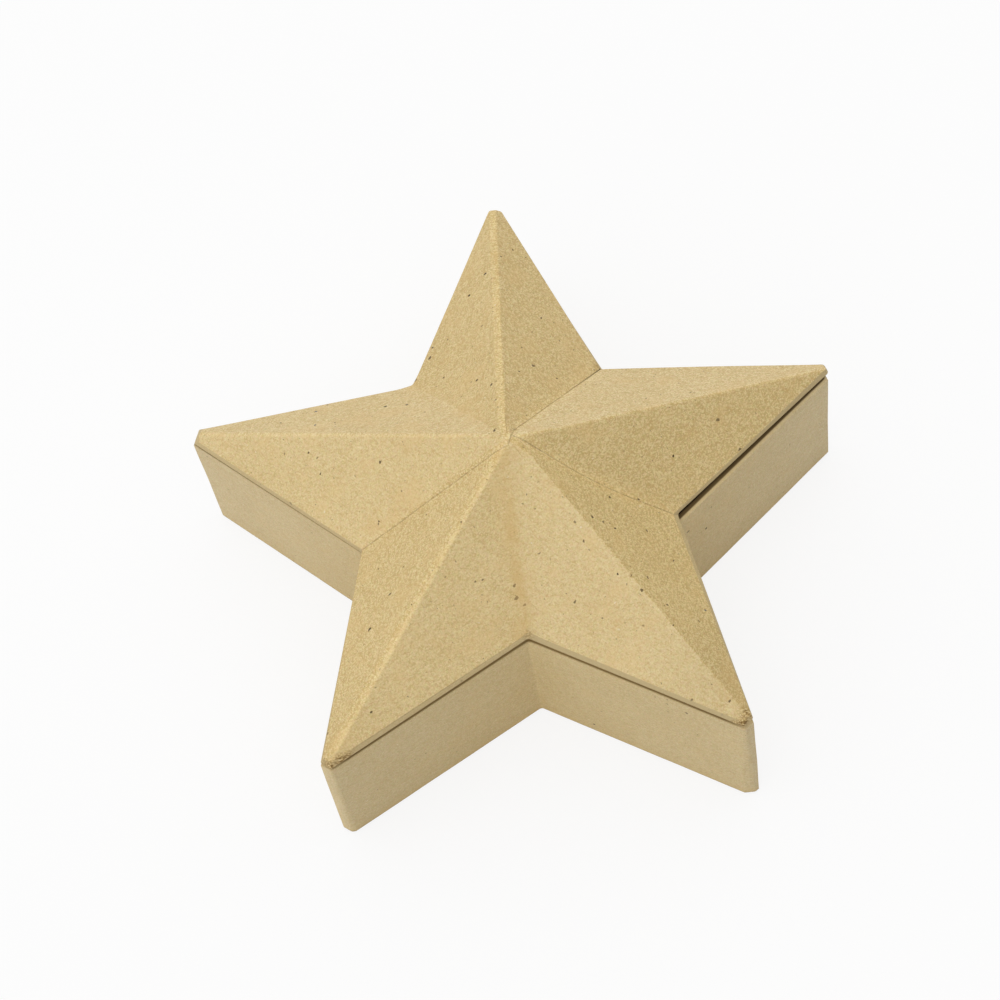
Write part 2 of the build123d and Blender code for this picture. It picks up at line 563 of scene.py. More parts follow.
class Shader:
    """The node tree of a material or a world, built by formulas."""

    def __init__(self, owner: Union[bpy.types.Material, bpy.types.World]) -> None:
        """Starts an empty tree.

        Args:
            owner: What the tree belongs to.
        """
        owner.use_nodes = True
        self.owner = owner
        self.tree = owner.node_tree
        self.tree.nodes.clear()

    def node(
        self,
        kind: str,
        settings: Optional[Mapping[str, Any]] = None,
        inputs: Optional[Mapping[Union[str, int], Feed]] = None,
        output: Union[str, int] = 0,
    ) -> Wire:
        """Adds a node of any kind.

        Args:
            kind: The node's type.
            settings: The node's own settings, which are set first.
            inputs: Values or wires for its sockets, by identifier, name or number.
            output: Which output is wanted, by identifier, name or number.

        Returns:
            The wanted output.
        """
        node = self.tree.nodes.new(kind)
        for setting, value in (settings or {}).items():
            setattr(node, setting, value)
        for socket, feed in (inputs or {}).items():
            target = self.pick(node.inputs, socket)
            if isinstance(feed, Wire):
                self.tree.links.new(feed.socket, target)
            else:
                target.default_value = feed
        return Wire(self, self.pick(node.outputs, output))

    @staticmethod
    def pick(sockets: Any, key: Union[str, int]) -> bpy.types.NodeSocket:
        """One of a node's sockets.

        Args:
            sockets: The node's inputs or outputs.
            key: Number, identifier or name of the socket.

        Returns:
            The socket.
        """
        if isinstance(key, int):
            return sockets[key]
        for socket in sockets:
            if socket.identifier == key:
                return socket
        return sockets[key]

    def place(self) -> Wire:
        """The surface point in the piece's own frame, in millimetres."""
        point = self.node("ShaderNodeTexCoord", output="Object")
        return self.scaled(point, 1.0 / MM)

    def scaled(self, vector: Wire, factor: Feed) -> Wire:
        """A vector or colour times a number."""
        return self.node("ShaderNodeVectorMath", {"operation": "SCALE"}, {"Vector": vector, "Scale": factor})

    def shifted(self, vector: Wire, other: Feed) -> Wire:
        """Sum of two vectors."""
        return self.node("ShaderNodeVectorMath", {"operation": "ADD"}, {0: vector, 1: other})

    def turned(self, vector: Wire, angles: Sequence[float], stretch: Sequence[float]) -> Wire:
        """A pattern's place stretched along its axes and turned by angles in degrees."""
        inputs = {"Vector": vector, "Rotation": tuple(np.radians(angles)), "Scale": tuple(stretch)}
        return self.node("ShaderNodeMapping", {"vector_type": "TEXTURE"}, inputs)

    def noise(
        self,
        place: Wire,
        size: float = 1.0,
        detail: float = 2.0,
        rough: float = 0.5,
        output: str = "Fac",
    ) -> Wire:
        """Cloudy noise.

        Args:
            place: Where it is read.
            size: Size of its coarsest clouds, in millimetres.
            detail: How many finer layers are added.
            rough: Strength of each finer layer.
            output: Fac for a value about 0.5, Color for three of them.

        Returns:
            The noise.
        """
        inputs = {"Vector": place, "Scale": 1.0 / size, "Detail": detail, "Roughness": rough}
        return self.node("ShaderNodeTexNoise", {"noise_dimensions": "3D"}, inputs, output)

    def mask(self, name: str) -> Wire:
        """One of the piece's own masks."""
        return self.node("ShaderNodeAttribute", {"attribute_name": name}, output="Fac")

    def mixed(self, factor: Feed, first: Feed, second: Feed, blend: str = "MIX") -> Wire:
        """Mix of two colours.

        Args:
            factor: Share of the second colour.
            first: First colour.
            second: Second colour.
            blend: How the two are mixed.

        Returns:
            The mixed colour.
        """
        settings = {"data_type": "RGBA", "blend_type": blend}
        inputs = {"Factor_Float": factor, "A_Color": first, "B_Color": second}
        return self.node("ShaderNodeMix", settings, inputs, "Result_Color")

    def specks(
        self,
        place: Wire,
        spacing: float,
        radius: float,
        share: float,
        soft: float,
    ) -> tuple[Wire, Wire]:
        """Scattered specks: points of a jittered lattice, of which a share is kept.

        A speck covers what lies nearer to its point than its own radius, which is 0.4 to 1 times the radius.

        Args:
            place: Where the lattice is read, already bent and stretched.
            spacing: Distance between the lattice's points.
            radius: Largest radius of a speck.
            share: Part of the points that carry a speck.
            soft: Width of a speck's soft edge.

        Returns:
            The specks' mask, and a random value for each speck.
        """
        inputs = {"Vector": place, "Scale": 1.0 / spacing, "Randomness": 1.0}
        settings = {"voronoi_dimensions": "3D", "feature": "F1"}
        distance = self.node("ShaderNodeTexVoronoi", settings, inputs, "Distance")
        kept_draw = self.node("ShaderNodeSeparateColor", {}, {"Color": distance.beside("Color")}, "Red")
        own_radius = (0.4 + 0.6 * kept_draw.beside("Green")) * radius
        inside = ((own_radius - distance * spacing) / soft + 0.5).clamped()
        return inside * kept_draw.below(share), kept_draw.beside("Blue")

    def show(self, surface: Wire, output: str = "ShaderNodeOutputMaterial") -> None:
        """Joins a surface shader to the tree's output, a node of that type."""
        end = self.tree.nodes.new(output)
        self.tree.links.new(surface.socket, end.inputs["Surface"])


@dataclass(frozen=True)
class KraftPaper:
    """Recycled kraft paper: fine pulp grain, warm patches, bark specks and pale flecks on a brown sheet.

    The swing is how far the sheet's red, green and blue go up and down. A fibre lane is a turn and a tilt.
    The shifts set patterns apart that would otherwise fall on each other.
    """

    name: str
    colour: Colour

    # Colours mixed over the sheet
    warm: Colour = (0.68, 0.47, 0.205, 1.0)
    bark: Colour = (0.05, 0.028, 0.009, 1.0)
    slate: Colour = (0.17, 0.155, 0.13, 1.0)
    fleece: Colour = (0.80, 0.70, 0.50, 1.0)

    # Strengths of the pulp's patterns
    swing: tuple[float, float, float] = (0.15, 0.20, 0.31)
    grain: float = 2.7
    mottle: float = 0.35
    clouds: float = 0.4
    warmth: float = 0.35
    tint: float = 0.10
    fibres: float = 0.7
    fibre_bend: float = 1.4
    fibre_lanes: Sequence[tuple[float, float]] = ((18.0, 25.0), (78.0, -30.0), (139.0, 10.0))
    streaks: float = 0.0
    red_loss: float = 0.25

    # Specks, and shifts between patterns
    speck_share: float = 0.26
    fleck_share: float = 0.34
    light_share: float = 0.16
    tint_shift: tuple[float, float, float] = (3.0, 17.0, 5.0)
    patch_shift: tuple[float, float, float] = (31.0, 7.0, 12.0)
    light_shift: tuple[float, float, float] = (5.0, 3.0, 9.0)

    # Surface
    bump_depth: float = 0.032
    speck_dip: float = 0.2
    roughness: float = 0.80
    specular: float = 0.25
    sheen: float = 0.05
    sheen_roughness: float = 0.6

    def shade(self, swing: float) -> Colour:
        """The sheet's colour, brighter or darker by a part of its swing, which is widest in blue."""
        return tuple(c * (1.0 + swing * s) for c, s in zip(self.colour, self.swing)) + (1.0,)

    def pulp(self, shader: Shader, place: Wire, bent: Wire) -> tuple[Wire, Wire]:
        """Tone of the bare pulp, and its height for the bump.

        The tone is a half plus grain, mottling, clouds, level streaks and fibres, each a noise less its
        middle times its strength. Grain and fibres are stronger where the piece's grain shading is high,
        which paints the stronger shading that grazing light gives the grain on some facets. The height is
        mostly grain, with some mottling and fibres.

        Args:
            shader: Shader to build in.
            place: Surface point in millimetres.
            bent: The same point, bent as fibres are.

        Returns:
            The tone, from the deep shade at 0 to the pale one at 1, and the height from about 0 to 1.
        """
        grain = shader.noise(place, size=0.45, rough=0.7)
        mottle = shader.noise(place, size=2.2, rough=0.6)
        clouds = shader.noise(place, size=26.0)
        # Painted shade: grain and fibres get more contrast on facets that the light grazes, where the bumps
        # would shade more.
        coarse = 1.0 + shader.mask("coarse")
        tone = 0.5 + (grain - 0.5) * coarse * self.grain
        tone = tone + (mottle - 0.5) * self.mottle + (clouds - 0.5) * self.clouds
        level = shader.turned(place, angles=(0.0, 0.0, 0.0), stretch=(1.5, 1.5, 0.4))
        tone = tone + (shader.noise(level, detail=1.0) - 0.5) * self.streaks
        height = grain * 0.7 + mottle * 0.3
        for turn, tilt in self.fibre_lanes:
            lane = shader.turned(bent, angles=(tilt, 0.0, turn), stretch=(2.6, 0.34, 0.34))
            fibre = shader.noise(lane, detail=0.0)
            pale, dark = fibre.over(0.62, 0.72), fibre.over(0.37, 0.28)
            tone = tone + (pale * 0.5 - dark) * coarse * self.fibres
            height = height + fibre * 0.15
        return tone.clamped(), height

    def specked(self, shader: Shader, sheet: Wire, bent: Wire) -> tuple[Wire, Wire]:
        """The sheet with small bark flecks, larger specks and pale flecks mixed over it.

        Args:
            shader: Shader to build in.
            sheet: Colour of the sheet without them.
            bent: Surface point in millimetres, bent as fibres are.

        Returns:
            The colour, and the mask of the larger specks.
        """
        flecks, draw = shader.specks(bent, spacing=1.5, radius=0.26, share=self.fleck_share, soft=0.12)
        sheet = shader.mixed(flecks * (0.15 + 0.55 * draw), sheet, self.bark)
        drawn_out = shader.turned(bent, angles=(15.0, -20.0, 52.0), stretch=(1.2, 0.9, 0.9))
        specks, draw = shader.specks(drawn_out, spacing=3.1, radius=0.52, share=self.speck_share, soft=0.10)
        speck_tone = shader.mixed(draw.over(0.90, 0.92), self.bark, self.slate)
        sheet = shader.mixed(specks * (0.6 + 0.4 * draw), sheet, speck_tone)
        apart = shader.shifted(bent, self.light_shift)
        lights, draw = shader.specks(apart, spacing=2.3, radius=0.30, share=self.light_share, soft=0.12)
        return shader.mixed(lights * (0.15 + 0.55 * draw), sheet, self.fleece), specks

    def sheet_colour(self, shader: Shader, place: Wire) -> tuple[Wire, Wire]:
        """Colour of the bare sheet, and its height for the bump.

        The pulp's tone picks a shade, a fine tint of many hues and warm patches lie over it, and specks last.

        Args:
            shader: Shader to build in.
            place: Surface point in millimetres.

        Returns:
            The colour, and the height from about 0 to 1.
        """
        bend = shader.noise(place, size=1.6, detail=1.0, output="Color")
        bent = shader.shifted(place, shader.scaled(bend, self.fibre_bend))
        tone, height = self.pulp(shader, place, bent)
        sheet = shader.mixed(tone, self.shade(-1.0), self.shade(1.0))
        tint = shader.noise(shader.shifted(place, self.tint_shift), size=0.8, detail=1.0, output="Color")
        sheet = shader.mixed(self.tint, sheet, tint, "OVERLAY")
        patches = shader.noise(shader.shifted(place, self.patch_shift), size=8.0, detail=3.0, rough=0.6)
        sheet = shader.mixed(patches.over(0.46, 0.72) * self.warmth, sheet, self.warm)
        sheet, specks = self.specked(shader, sheet, bent)
        return sheet, height - specks * self.speck_dip

    def toned(self, shader: Shader, colour: Wire) -> Wire:
        """The colour times 1 plus the piece's tone, with more blue and less red where the piece is pale.

        Tone and paleness partly paint light and shade: paler and bluer where facets or sides face the light,
        darker where they face away, and darker in the wall's slot strip.

        Args:
            shader: Shader to build in.
            colour: The colour as it is.

        Returns:
            The toned colour.
        """
        tone, pale = 1.0 + shader.mask("tone"), shader.mask("pale")
        inputs = {"X": tone * (1.0 - self.red_loss * pale), "Y": tone, "Z": tone * (1.0 + pale)}
        factors = shader.node("ShaderNodeCombineXYZ", {}, inputs)
        return shader.node("ShaderNodeVectorMath", {"operation": "MULTIPLY"}, {0: colour, 1: factors})

    def dressed(self, shader: Shader, place: Wire, colour: Wire, height: Wire) -> tuple[Wire, Wire]:
        """What a piece's masks do to the sheet's colour and height: nothing on plain paper."""
        return colour, height

    def material(self) -> bpy.types.Material:
        """The finish: the sheet, dressed by the piece's masks, with its bump.

        Returns:
            The new material.
        """
        shader = Shader(bpy.data.materials.new(self.name))
        place = shader.place()
        colour, height = self.dressed(shader, place, *self.sheet_colour(shader, place))
        bump_inputs = {"Height": height, "Strength": 1.0, "Distance": self.bump_depth * MM}
        surface_inputs = {
            "Base Color": colour,
            "Roughness": self.roughness,
            "Normal": shader.node("ShaderNodeBump", {}, bump_inputs),
            "Specular IOR Level": self.specular,
            "Sheen Weight": self.sheen,
            "Sheen Roughness": self.sheen_roughness,
        }
        shader.show(shader.node("ShaderNodeBsdfPrincipled", {}, surface_inputs))
        return shader.owner


@dataclass(frozen=True)
class RoofPaper(KraftPaper):
    """Kraft paper on the roof: paler along the ridges, partly rubbed wear and partly painted highlight,
    creased round the lip, dark in the seams, darker on the lip by its own tint and painted shade, and painted
    shade in the slot.
    """

    rubbed: Colour = (0.76, 0.61, 0.35, 1.0)
    # Lip colour: its own darker orange-brown tint together with painted shade of the steep lip.
    lip_tone: Colour = (0.46, 0.36, 0.19, 1.0)
    damp: Colour = (0.57, 0.375, 0.14, 1.0)
    stained: Colour = (0.46, 0.29, 0.085, 1.0)
    pleated: Colour = (0.18, 0.10, 0.025, 1.0)
    cracked: Colour = (0.14, 0.08, 0.025, 1.0)
    # Near-black painted shade for the slot under the lip.
    gloom: Colour = (0.05, 0.03, 0.012, 1.0)
    lip_strength: float = 0.6
    crease_strength: float = 0.7
    stain_strength: float = 0.7
    fold_strength: float = 0.8
    gap_strength: float = 0.95
    pleat_height: float = 5.0

    def dressed(self, shader: Shader, place: Wire, colour: Wire, height: Wire) -> tuple[Wire, Wire]:
        """Tones the sheet and mixes the masks for valley, ridge, lip, crease, scuff, seam and gap over it.
        The tone and ridge masks are partly painted light, the lip mask partly and the gap mask wholly painted
        shade.

        Args:
            shader: Shader to build in.
            place: Surface point in millimetres.
            colour: Colour of the sheet.
            height: Height of the sheet.

        Returns:
            The colour, and the height with the pleats of the scuffs.
        """
        colour = self.toned(shader, colour)
        patchy = shader.noise(place, size=1.7, rough=0.6)
        dampness = shader.noise(place, size=5.0, detail=3.0, rough=0.6).over(0.20, 0.70)
        colour = shader.mixed(shader.mask("valley") * dampness, colour, self.damp)
        # Painted highlight and wear: the ridge band is lightened, partly rubbed and partly standing in for
        # light caught by the bevel.
        colour = shader.scaled(colour, 1.0 + shader.mask("ridge") * (0.06 + 0.14 * patchy))
        # The lip is mixed towards a darker orange-brown: partly the wrapped edge's own tint, partly painted
        # shade.
        colour = shader.mixed(shader.mask("lip") * self.lip_strength, colour, self.lip_tone)
        colour = shader.mixed(shader.mask("crease") * patchy * self.crease_strength, colour, self.cracked)
        scuff = shader.mask("scuff").clamped()
        colour = shader.mixed(scuff * self.stain_strength, colour, self.stained)
        folds = shader.turned(place, angles=(0.0, 35.0, 20.0), stretch=(1.2, 0.4, 0.4))
        pleats = shader.noise(folds, detail=1.0)
        colour = shader.mixed(scuff * pleats.over(0.48, 0.58), colour, self.pleated)
        colour = shader.mixed(scuff * pleats.over(0.44, 0.36) * self.fold_strength, colour, self.rubbed)
        broken = shader.noise(place, size=2.4, rough=0.6).over(0.30, 0.62)
        colour = shader.mixed(shader.mask("seam") * (0.4 + 0.6 * broken), colour, self.cracked)
        # Painted shade: the lip's foot and the underside by the slot are mixed towards near black, standing
        # in for the slot's shadow.
        colour = shader.mixed(shader.mask("gap") * self.gap_strength, colour, self.gloom)
        return colour, height + scuff * pleats * self.pleat_height


@dataclass(frozen=True)
class WallPaper(KraftPaper):
    """Smoother, greyer kraft paper on the wall: warm along the foot, darker right at the foot, tan over the
    bare top edge, and painted shade where the lid's slot shades that edge.
    """

    foot_tone: Colour = (0.64, 0.47, 0.21, 1.0)
    board: Colour = (0.56, 0.42, 0.20, 1.0)
    # Dark brown painted shade for the wall's top edge under the lid.
    hollow: Colour = (0.25, 0.15, 0.042, 1.0)
    # Colour that the wall darkens towards right at its foot.
    grime: Colour = (0.30, 0.21, 0.09, 1.0)
    foot_strength: float = 0.6
    grime_strength: float = 0.7
    hollow_strength: float = 0.85

    def dressed(self, shader: Shader, place: Wire, colour: Wire, height: Wire) -> tuple[Wire, Wire]:
        """Mixes the masks for foot, darkening at the foot, top edge and the slot's painted shade over the
        sheet, and tones it.

        Args:
            shader: Shader to build in.
            place: Surface point in millimetres.
            colour: Colour of the sheet.
            height: Height of the sheet.

        Returns:
            The colour, and the height as it was.
        """
        patchy = shader.noise(place, size=2.0, detail=3.0, rough=0.6)
        foot = shader.mask("foot") * patchy.over(0.2, 0.6) * self.foot_strength
        # Darker in a thin line right along the foot.
        grime = shader.mask("grime") * patchy.over(0.3, 0.6) * self.grime_strength
        colour = shader.mixed(foot, colour, self.foot_tone)
        colour = shader.mixed(grime, colour, self.grime)
        colour = shader.mixed(shader.mask("edge") * (0.4 + 0.6 * patchy), colour, self.board)
        # Painted shade: the top edge under the lid's slot is mixed towards dark brown.
        colour = shader.mixed(shader.mask("hollow") * self.hollow_strength, colour, self.hollow)
        return self.toned(shader, colour), height


@dataclass(frozen=True)
class Spot:
    """A round stain or scuff: its middle, its reach and how strong it is."""

    place: tuple[float, float, float]
    reach: float
    strength: float = 1.0

    def share(self, points: np.ndarray) -> np.ndarray:
        """Strength of the spot at each point, a bell curve of the distance from its middle."""
        return self.strength * bell(np.linalg.norm(points - np.array(self.place), axis=-1), self.reach)


@dataclass(frozen=True)
class Seam:
    """Where two roof sheets meet.

    Near and far are half the gap at the apex and at the notch. Dark is how dark the seam is, lightened how
    much paler the paper beside it is, and bow how far it bends to one side. The reaches are those of the bell
    curves across the seam, which begins over a short start, and powers shape the gap and the bow along it.
    """

    near: float
    far: float
    dark: float
    rubbed: float
    bow: float = 0.0
    start: float = 0.4
    gap_power: float = 4.0
    gap_reach: float = 1.0
    bow_power: float = 1.3
    bow_reach: float = 7.0
    tuck: float = 0.05
    tuck_reach: float = 0.45
    dark_reach: float = 0.18
    rubbed_reach: float = 2.4


@dataclass(frozen=True)
class Valley:
    """A folded valley: how brown it is stained, and how far right of it, seen from its notch, the stain lies.

    The stain begins over a share of the valley, at a part of its strength that grows to all of it.
    """

    stain: float
    lean: float
    start: float = 0.1
    apex_part: float = 0.6
    reach: float = 2.8


@dataclass(frozen=True)
class Ridge:
    """An arm's fold: its bevel's depth below the sharp ridge, how much its band is lightened, partly as
    rubbed wear and partly as painted highlight, and how far it strays.

    It strays anticlockwise, by one distance at the apex and another at the tip.
    """

    bevel: float
    rubbed: float
    stray_apex: float
    stray_tip: float


@dataclass(frozen=True)
class Facet:
    """A roof facet: its plane's lift on the axis, and its paper's tone, paleness and grain shading.

    Tone and paleness are partly the paper's own and partly painted light and shade: lit facets paler and
    bluer, shaded ones darker. Grain shading is painted shading of the grain where the light grazes the facet.
    """

    lift: float
    tone: float
    pale: float
    coarse: float


@dataclass(frozen=True)
class RoofPanel:
    """One folded sheet of the roof, from the notch of one seam to the notch of the next.

    The inner line is its edge at the apex, and the inner side is which way it draws back from that line.
    """

    node: str
    first: int
    last: int
    inner: Sequence[tuple[float, float]]
    inner_side: float

    @property
    def piece(self) -> str:
        """Name of the sheet that stands for the node."""
        return self.node.replace("lid_", "") + "_sheet"


@dataclass
class LidRoof:
    """The lid's star roof: ten facets above a low lip, in three folded sheets that meet at the blunt apex.

    A facet is a plane through the two corners of its lower edge and a point on the axis. The surface takes
    the lower plane at a ridge and the upper one at a valley, blended over the fold, and is blunted below the
    apex.
    """

    paper: KraftPaper
    edge: StarPlan
    outline: StarPlan
    seat_height: float

    # Form: the facets, their folds and the blunt apex
    rim_height: float = 2.35
    rise: float = 27.5
    board_drop: float = 3.04
    bevel_blend: float = 0.25
    fold_blend: float = 3.4
    seam_blend: float = 0.3
    blunt: float = 1.3
    blunt_blend: float = 1.0
    lift_fade: float = 5.0
    stray_reach: float = 11.0
    stray_start: float = 0.08
    # Edges of the ridge band, which is lightened partly as wear and partly as painted highlight.
    rub_end: float = 1.25
    rub_soft: float = 0.45
    apex_gap: float = 0.03
    apex_dark: float = 0.42
    apex_dark_reach: float = 0.2

    # Gentle ripples
    swell: float = 0.10
    swell_length: float = 24.0
    dimple: float = 0.04
    dimple_length: float = 8.0
    calm_power: int = 6

    # Lip, seat and underside
    lip_out_power: float = 0.9
    lip_down_power: float = 1.12
    foot_round: float = 0.3
    seat_width: float = 1.7
    seat_gap: float = 0.10
    under_part: float = 0.98

    # Rows of the grid
    top_rows: int = 110
    top_crowding: float = 0.6
    lip_rows: int = 12
    foot_rows: int = 6

    # What differs from corner to corner and from facet to facet
    # Facet tones and paleness are partly the paper's own and partly painted light and shade, by how light
    # falls on each facet.
    facets: Mapping[int, Facet] = field(default_factory=lambda: {
        Corner.BACK: Facet(-0.36, -0.065, 0.0, 0.1),
        Corner.BACK_LEFT_NOTCH: Facet(1.29, 0.015, 0.08, -0.1),
        Corner.LEFT: Facet(0.45, 0.035, 0.065, -0.5),
        Corner.LEFT_NOTCH: Facet(-1.26, -0.055, 0.0, 0.1),
        Corner.FRONT_LEFT: Facet(-0.23, 0.03, 0.04, -0.45),
        Corner.FRONT_NOTCH: Facet(0.15, 0.04, 0.075, -0.55),
        Corner.FRONT_RIGHT: Facet(0.08, -0.06, -0.065, 0.7),
        Corner.RIGHT_NOTCH: Facet(0.46, -0.07, -0.025, 0.25),
        Corner.RIGHT: Facet(0.13, 0.025, 0.085, 0.1),
        Corner.BACK_RIGHT_NOTCH: Facet(-0.86, -0.05, -0.02, 0.6),
    })
    rim_lifts: Mapping[int, float] = field(default_factory=lambda: {
        Corner.BACK: 0.44,
        Corner.BACK_LEFT_NOTCH: 0.14,
        Corner.LEFT: -0.24,
        Corner.RIGHT_NOTCH: 0.23,
        Corner.RIGHT: -0.31,
    })
    panels: Sequence[RoofPanel] = (
        RoofPanel(
            "lid_roof_back_left", Corner.BACK_RIGHT_NOTCH - CORNERS, Corner.LEFT_NOTCH,
            (APEX_BACK, APEX_MIDDLE, APEX_FRONT), -1.0,
        ),
        RoofPanel(
            "lid_roof_front", Corner.LEFT_NOTCH, Corner.RIGHT_NOTCH,
            (APEX_FRONT, APEX_MIDDLE), 1.0,
        ),
        RoofPanel(
            "lid_roof_right", Corner.RIGHT_NOTCH, Corner.BACK_RIGHT_NOTCH,
            (APEX_MIDDLE, APEX_BACK), 1.0,
        ),
    )
    seams: Mapping[int, Seam] = field(default_factory=lambda: {
        Corner.BACK_RIGHT_NOTCH: Seam(0.02, 0.15, 0.42, 0.06),
        Corner.LEFT_NOTCH: Seam(0.015, 0.02, 0.28, 0.03),
        Corner.RIGHT_NOTCH: Seam(0.015, 0.02, 0.42, 0.08, bow=2.1),
    })
    valleys: Mapping[int, Valley] = field(default_factory=lambda: {
        Corner.BACK_LEFT_NOTCH: Valley(0.16, 0.0),
        Corner.FRONT_NOTCH: Valley(0.75, -1.2),
    })
    ridges: Mapping[int, Ridge] = field(default_factory=lambda: {
        Corner.BACK: Ridge(0.66, 0.85, 0.85, 0.85),
        Corner.LEFT: Ridge(0.40, 0.45, 0.3, 0.3),
        Corner.FRONT_LEFT: Ridge(0.66, 0.75, -1.25, 0.4),
        Corner.FRONT_RIGHT: Ridge(0.08, 0.2, 2.1, 0.2),
        Corner.RIGHT: Ridge(0.30, 0.5, -0.35, -1.3),
    })
    lip_gaps: Mapping[int, float] = field(default_factory=lambda: {
        Corner.LEFT: 0.8,
        Corner.LEFT_NOTCH: 0.1,
        Corner.FRONT_LEFT: 0.4,
        Corner.FRONT_NOTCH: 0.95,
        Corner.FRONT_RIGHT: 0.6,
        Corner.RIGHT_NOTCH: 1.2,
        Corner.RIGHT: 0.4,
    })
    # Two sides get a stronger lip mix, for more painted shade there.
    lip_shades: Mapping[int, float] = field(default_factory=lambda: {
        Corner.FRONT_NOTCH: 1.35,
        Corner.RIGHT_NOTCH: 1.2,
    })

    # Marks
    scuffs: Sequence[Spot] = (
        Spot((0.4, -45.5, 45.2), 1.3, 0.55),
        Spot((25.8, 36.6, 45.2), 1.3, 0.6),
        Spot((-55.0, -78.4, 44.2), 1.9, 1.0),
        Spot((-52.0, -76.7, 44.2), 1.8),
        Spot((-50.0, -75.5, 44.6), 1.4, 0.7),
        Spot((54.8, -78.4, 44.4), 1.9, 1.4),
        Spot((55.6, -75.6, 45.4), 1.5),
        Spot((52.4, -77.2, 43.7), 0.9),
    )
    blots: Sequence[Spot] = (
        Spot((*APEX_BACK, 69.8), 0.5, 0.8),
        Spot((53.6, -77.9, 43.9), 0.6, 0.9),
    )
    shades: Sequence[Spot] = (
        Spot((49.0, -67.0, 50.0), 17.0, -0.08),
        Spot((0.0, -38.0, 50.0), 13.0, -0.02),
    )
    crease: Spot = Spot((-27.0, -62.0, 45.0), 34.0)

    @staticmethod
    def nearest_ridge(facet: np.ndarray) -> np.ndarray:
        """Number of the tip whose ridge bounds each facet: its own where that is even, else the next one."""
        return (facet + facet % 2) % CORNERS

    def planes(self) -> tuple[np.ndarray, np.ndarray]:
        """Planes of the facets, each from the two corners of its lower edge and its point on the axis.

        Returns:
            Height on the axis, and slope in plan, of each facet's plane.
        """
        corners = self.edge.corners()
        level = self.seat_height + self.rim_height
        rim = level + by_corner(self.rim_lifts, 0.0)
        peak = level + self.rise + field_by_corner(self.facets, "lift")
        ends = np.stack([corners, np.roll(corners, -1, axis=0)], axis=1)
        falls = np.stack([rim, np.roll(rim, -1)], axis=1) - peak[:, None]
        return peak, np.linalg.solve(ends, falls[..., None])[..., 0]

    def facet_of(self, plan: np.ndarray) -> np.ndarray:
        """Number of the facet between whose two corner directions each place lies.

        Args:
            plan: Places in plan.

        Returns:
            Numbers from 0 to 9.
        """
        corners = self.edge.corners()
        start = np.arctan2(corners[0, 1], corners[0, 0])
        bounds = np.mod(np.arctan2(corners[:, 1], corners[:, 0]) - start, 2.0 * np.pi)
        turn = np.mod(np.arctan2(plan[..., 1], plan[..., 0]) - start, 2.0 * np.pi)
        return np.searchsorted(bounds, turn, side="right") - 1

    def off_arm(self, corner: int, plan: np.ndarray) -> tuple[np.ndarray, np.ndarray, np.ndarray]:
        """How places lie to the line from the axis to a corner.

        Args:
            corner: The corner.
            plan: Places, as rows by columns by two.

        Returns:
            Share of the way along the line, distance to the left of it, and the unit vector to its left.
        """
        reach = self.edge.corners()[corner]
        length = np.linalg.norm(reach)
        along = reach / length
        return (plan @ along) / length, plan @ left_of(along), left_of(along)

    def strayed(self, plan: np.ndarray) -> np.ndarray:
        """Places moved back by how far the ridges stray near them, so that planes read there bend the ridges.

        A ridge moves its places square to its arm. The move changes evenly from apex to tip, dies out as a
        bell curve off the ridge, and starts a little way from the axis.

        Args:
            plan: Places, as rows by columns by two.

        Returns:
            The moved places.
        """
        moved = plan.copy()
        for corner, ridge in self.ridges.items():
            share, distance, across = self.off_arm(corner, plan)
            stray = ridge.stray_apex + (ridge.stray_tip - ridge.stray_apex) * np.clip(share, 0.0, 1.0)
            near = bell(distance, self.stray_reach) * np.clip(share / self.stray_start, 0.0, 1.0)
            moved -= (stray * near)[..., None] * across
        return moved

    def height(self, plan: np.ndarray) -> tuple[np.ndarray, np.ndarray, np.ndarray]:
        """Height of the roof over places in plan.

        The lifts fade out near the axis, so all planes meet there in one point, which the blunt top takes
        off. Between its two facets a ridge has a bevel, half way between their planes less the bevel's depth.

        Args:
            plan: Places, as rows by columns by two.

        Returns:
            The heights, how far apart the nearest ridge's planes are, in bevel widths, and the number of the
            facet whose plane is the lower one there.
        """
        peak, slope = self.planes()
        facet = self.facet_of(plan)
        valley = facet + 1 - facet % 2
        step = 1 - 2 * (facet % 2)
        past_valley, past_ridge = (facet + step) % CORNERS, (facet - step) % CORNERS
        valley_blend = np.where(np.isin(valley, list(self.seams)), self.seam_blend, self.fold_blend)
        bevel = field_by_corner(self.ridges, "bevel", 1.0)[self.nearest_ridge(facet)]
        top = self.seat_height + self.rim_height + self.rise
        fade = bell(np.linalg.norm(plan, axis=-1), self.lift_fade)
        read = self.strayed(plan)

        def plane(number: np.ndarray) -> np.ndarray:
            """Height of each place's plane of that number."""
            return peak[number] - (peak[number] - top) * fade + (read * slope[number]).sum(axis=-1)

        own, other = plane(facet), plane(past_ridge)
        heights = lower_of(np.minimum(own, other), (own + other) / 2.0 - bevel, self.bevel_blend)
        heights = upper_of(heights, plane(past_valley), valley_blend)
        heights = lower_of(heights, np.full_like(heights, top - self.blunt), self.blunt_blend)
        return heights, np.abs(own - other) / (2.0 * bevel), np.where(own <= other, facet, past_ridge)

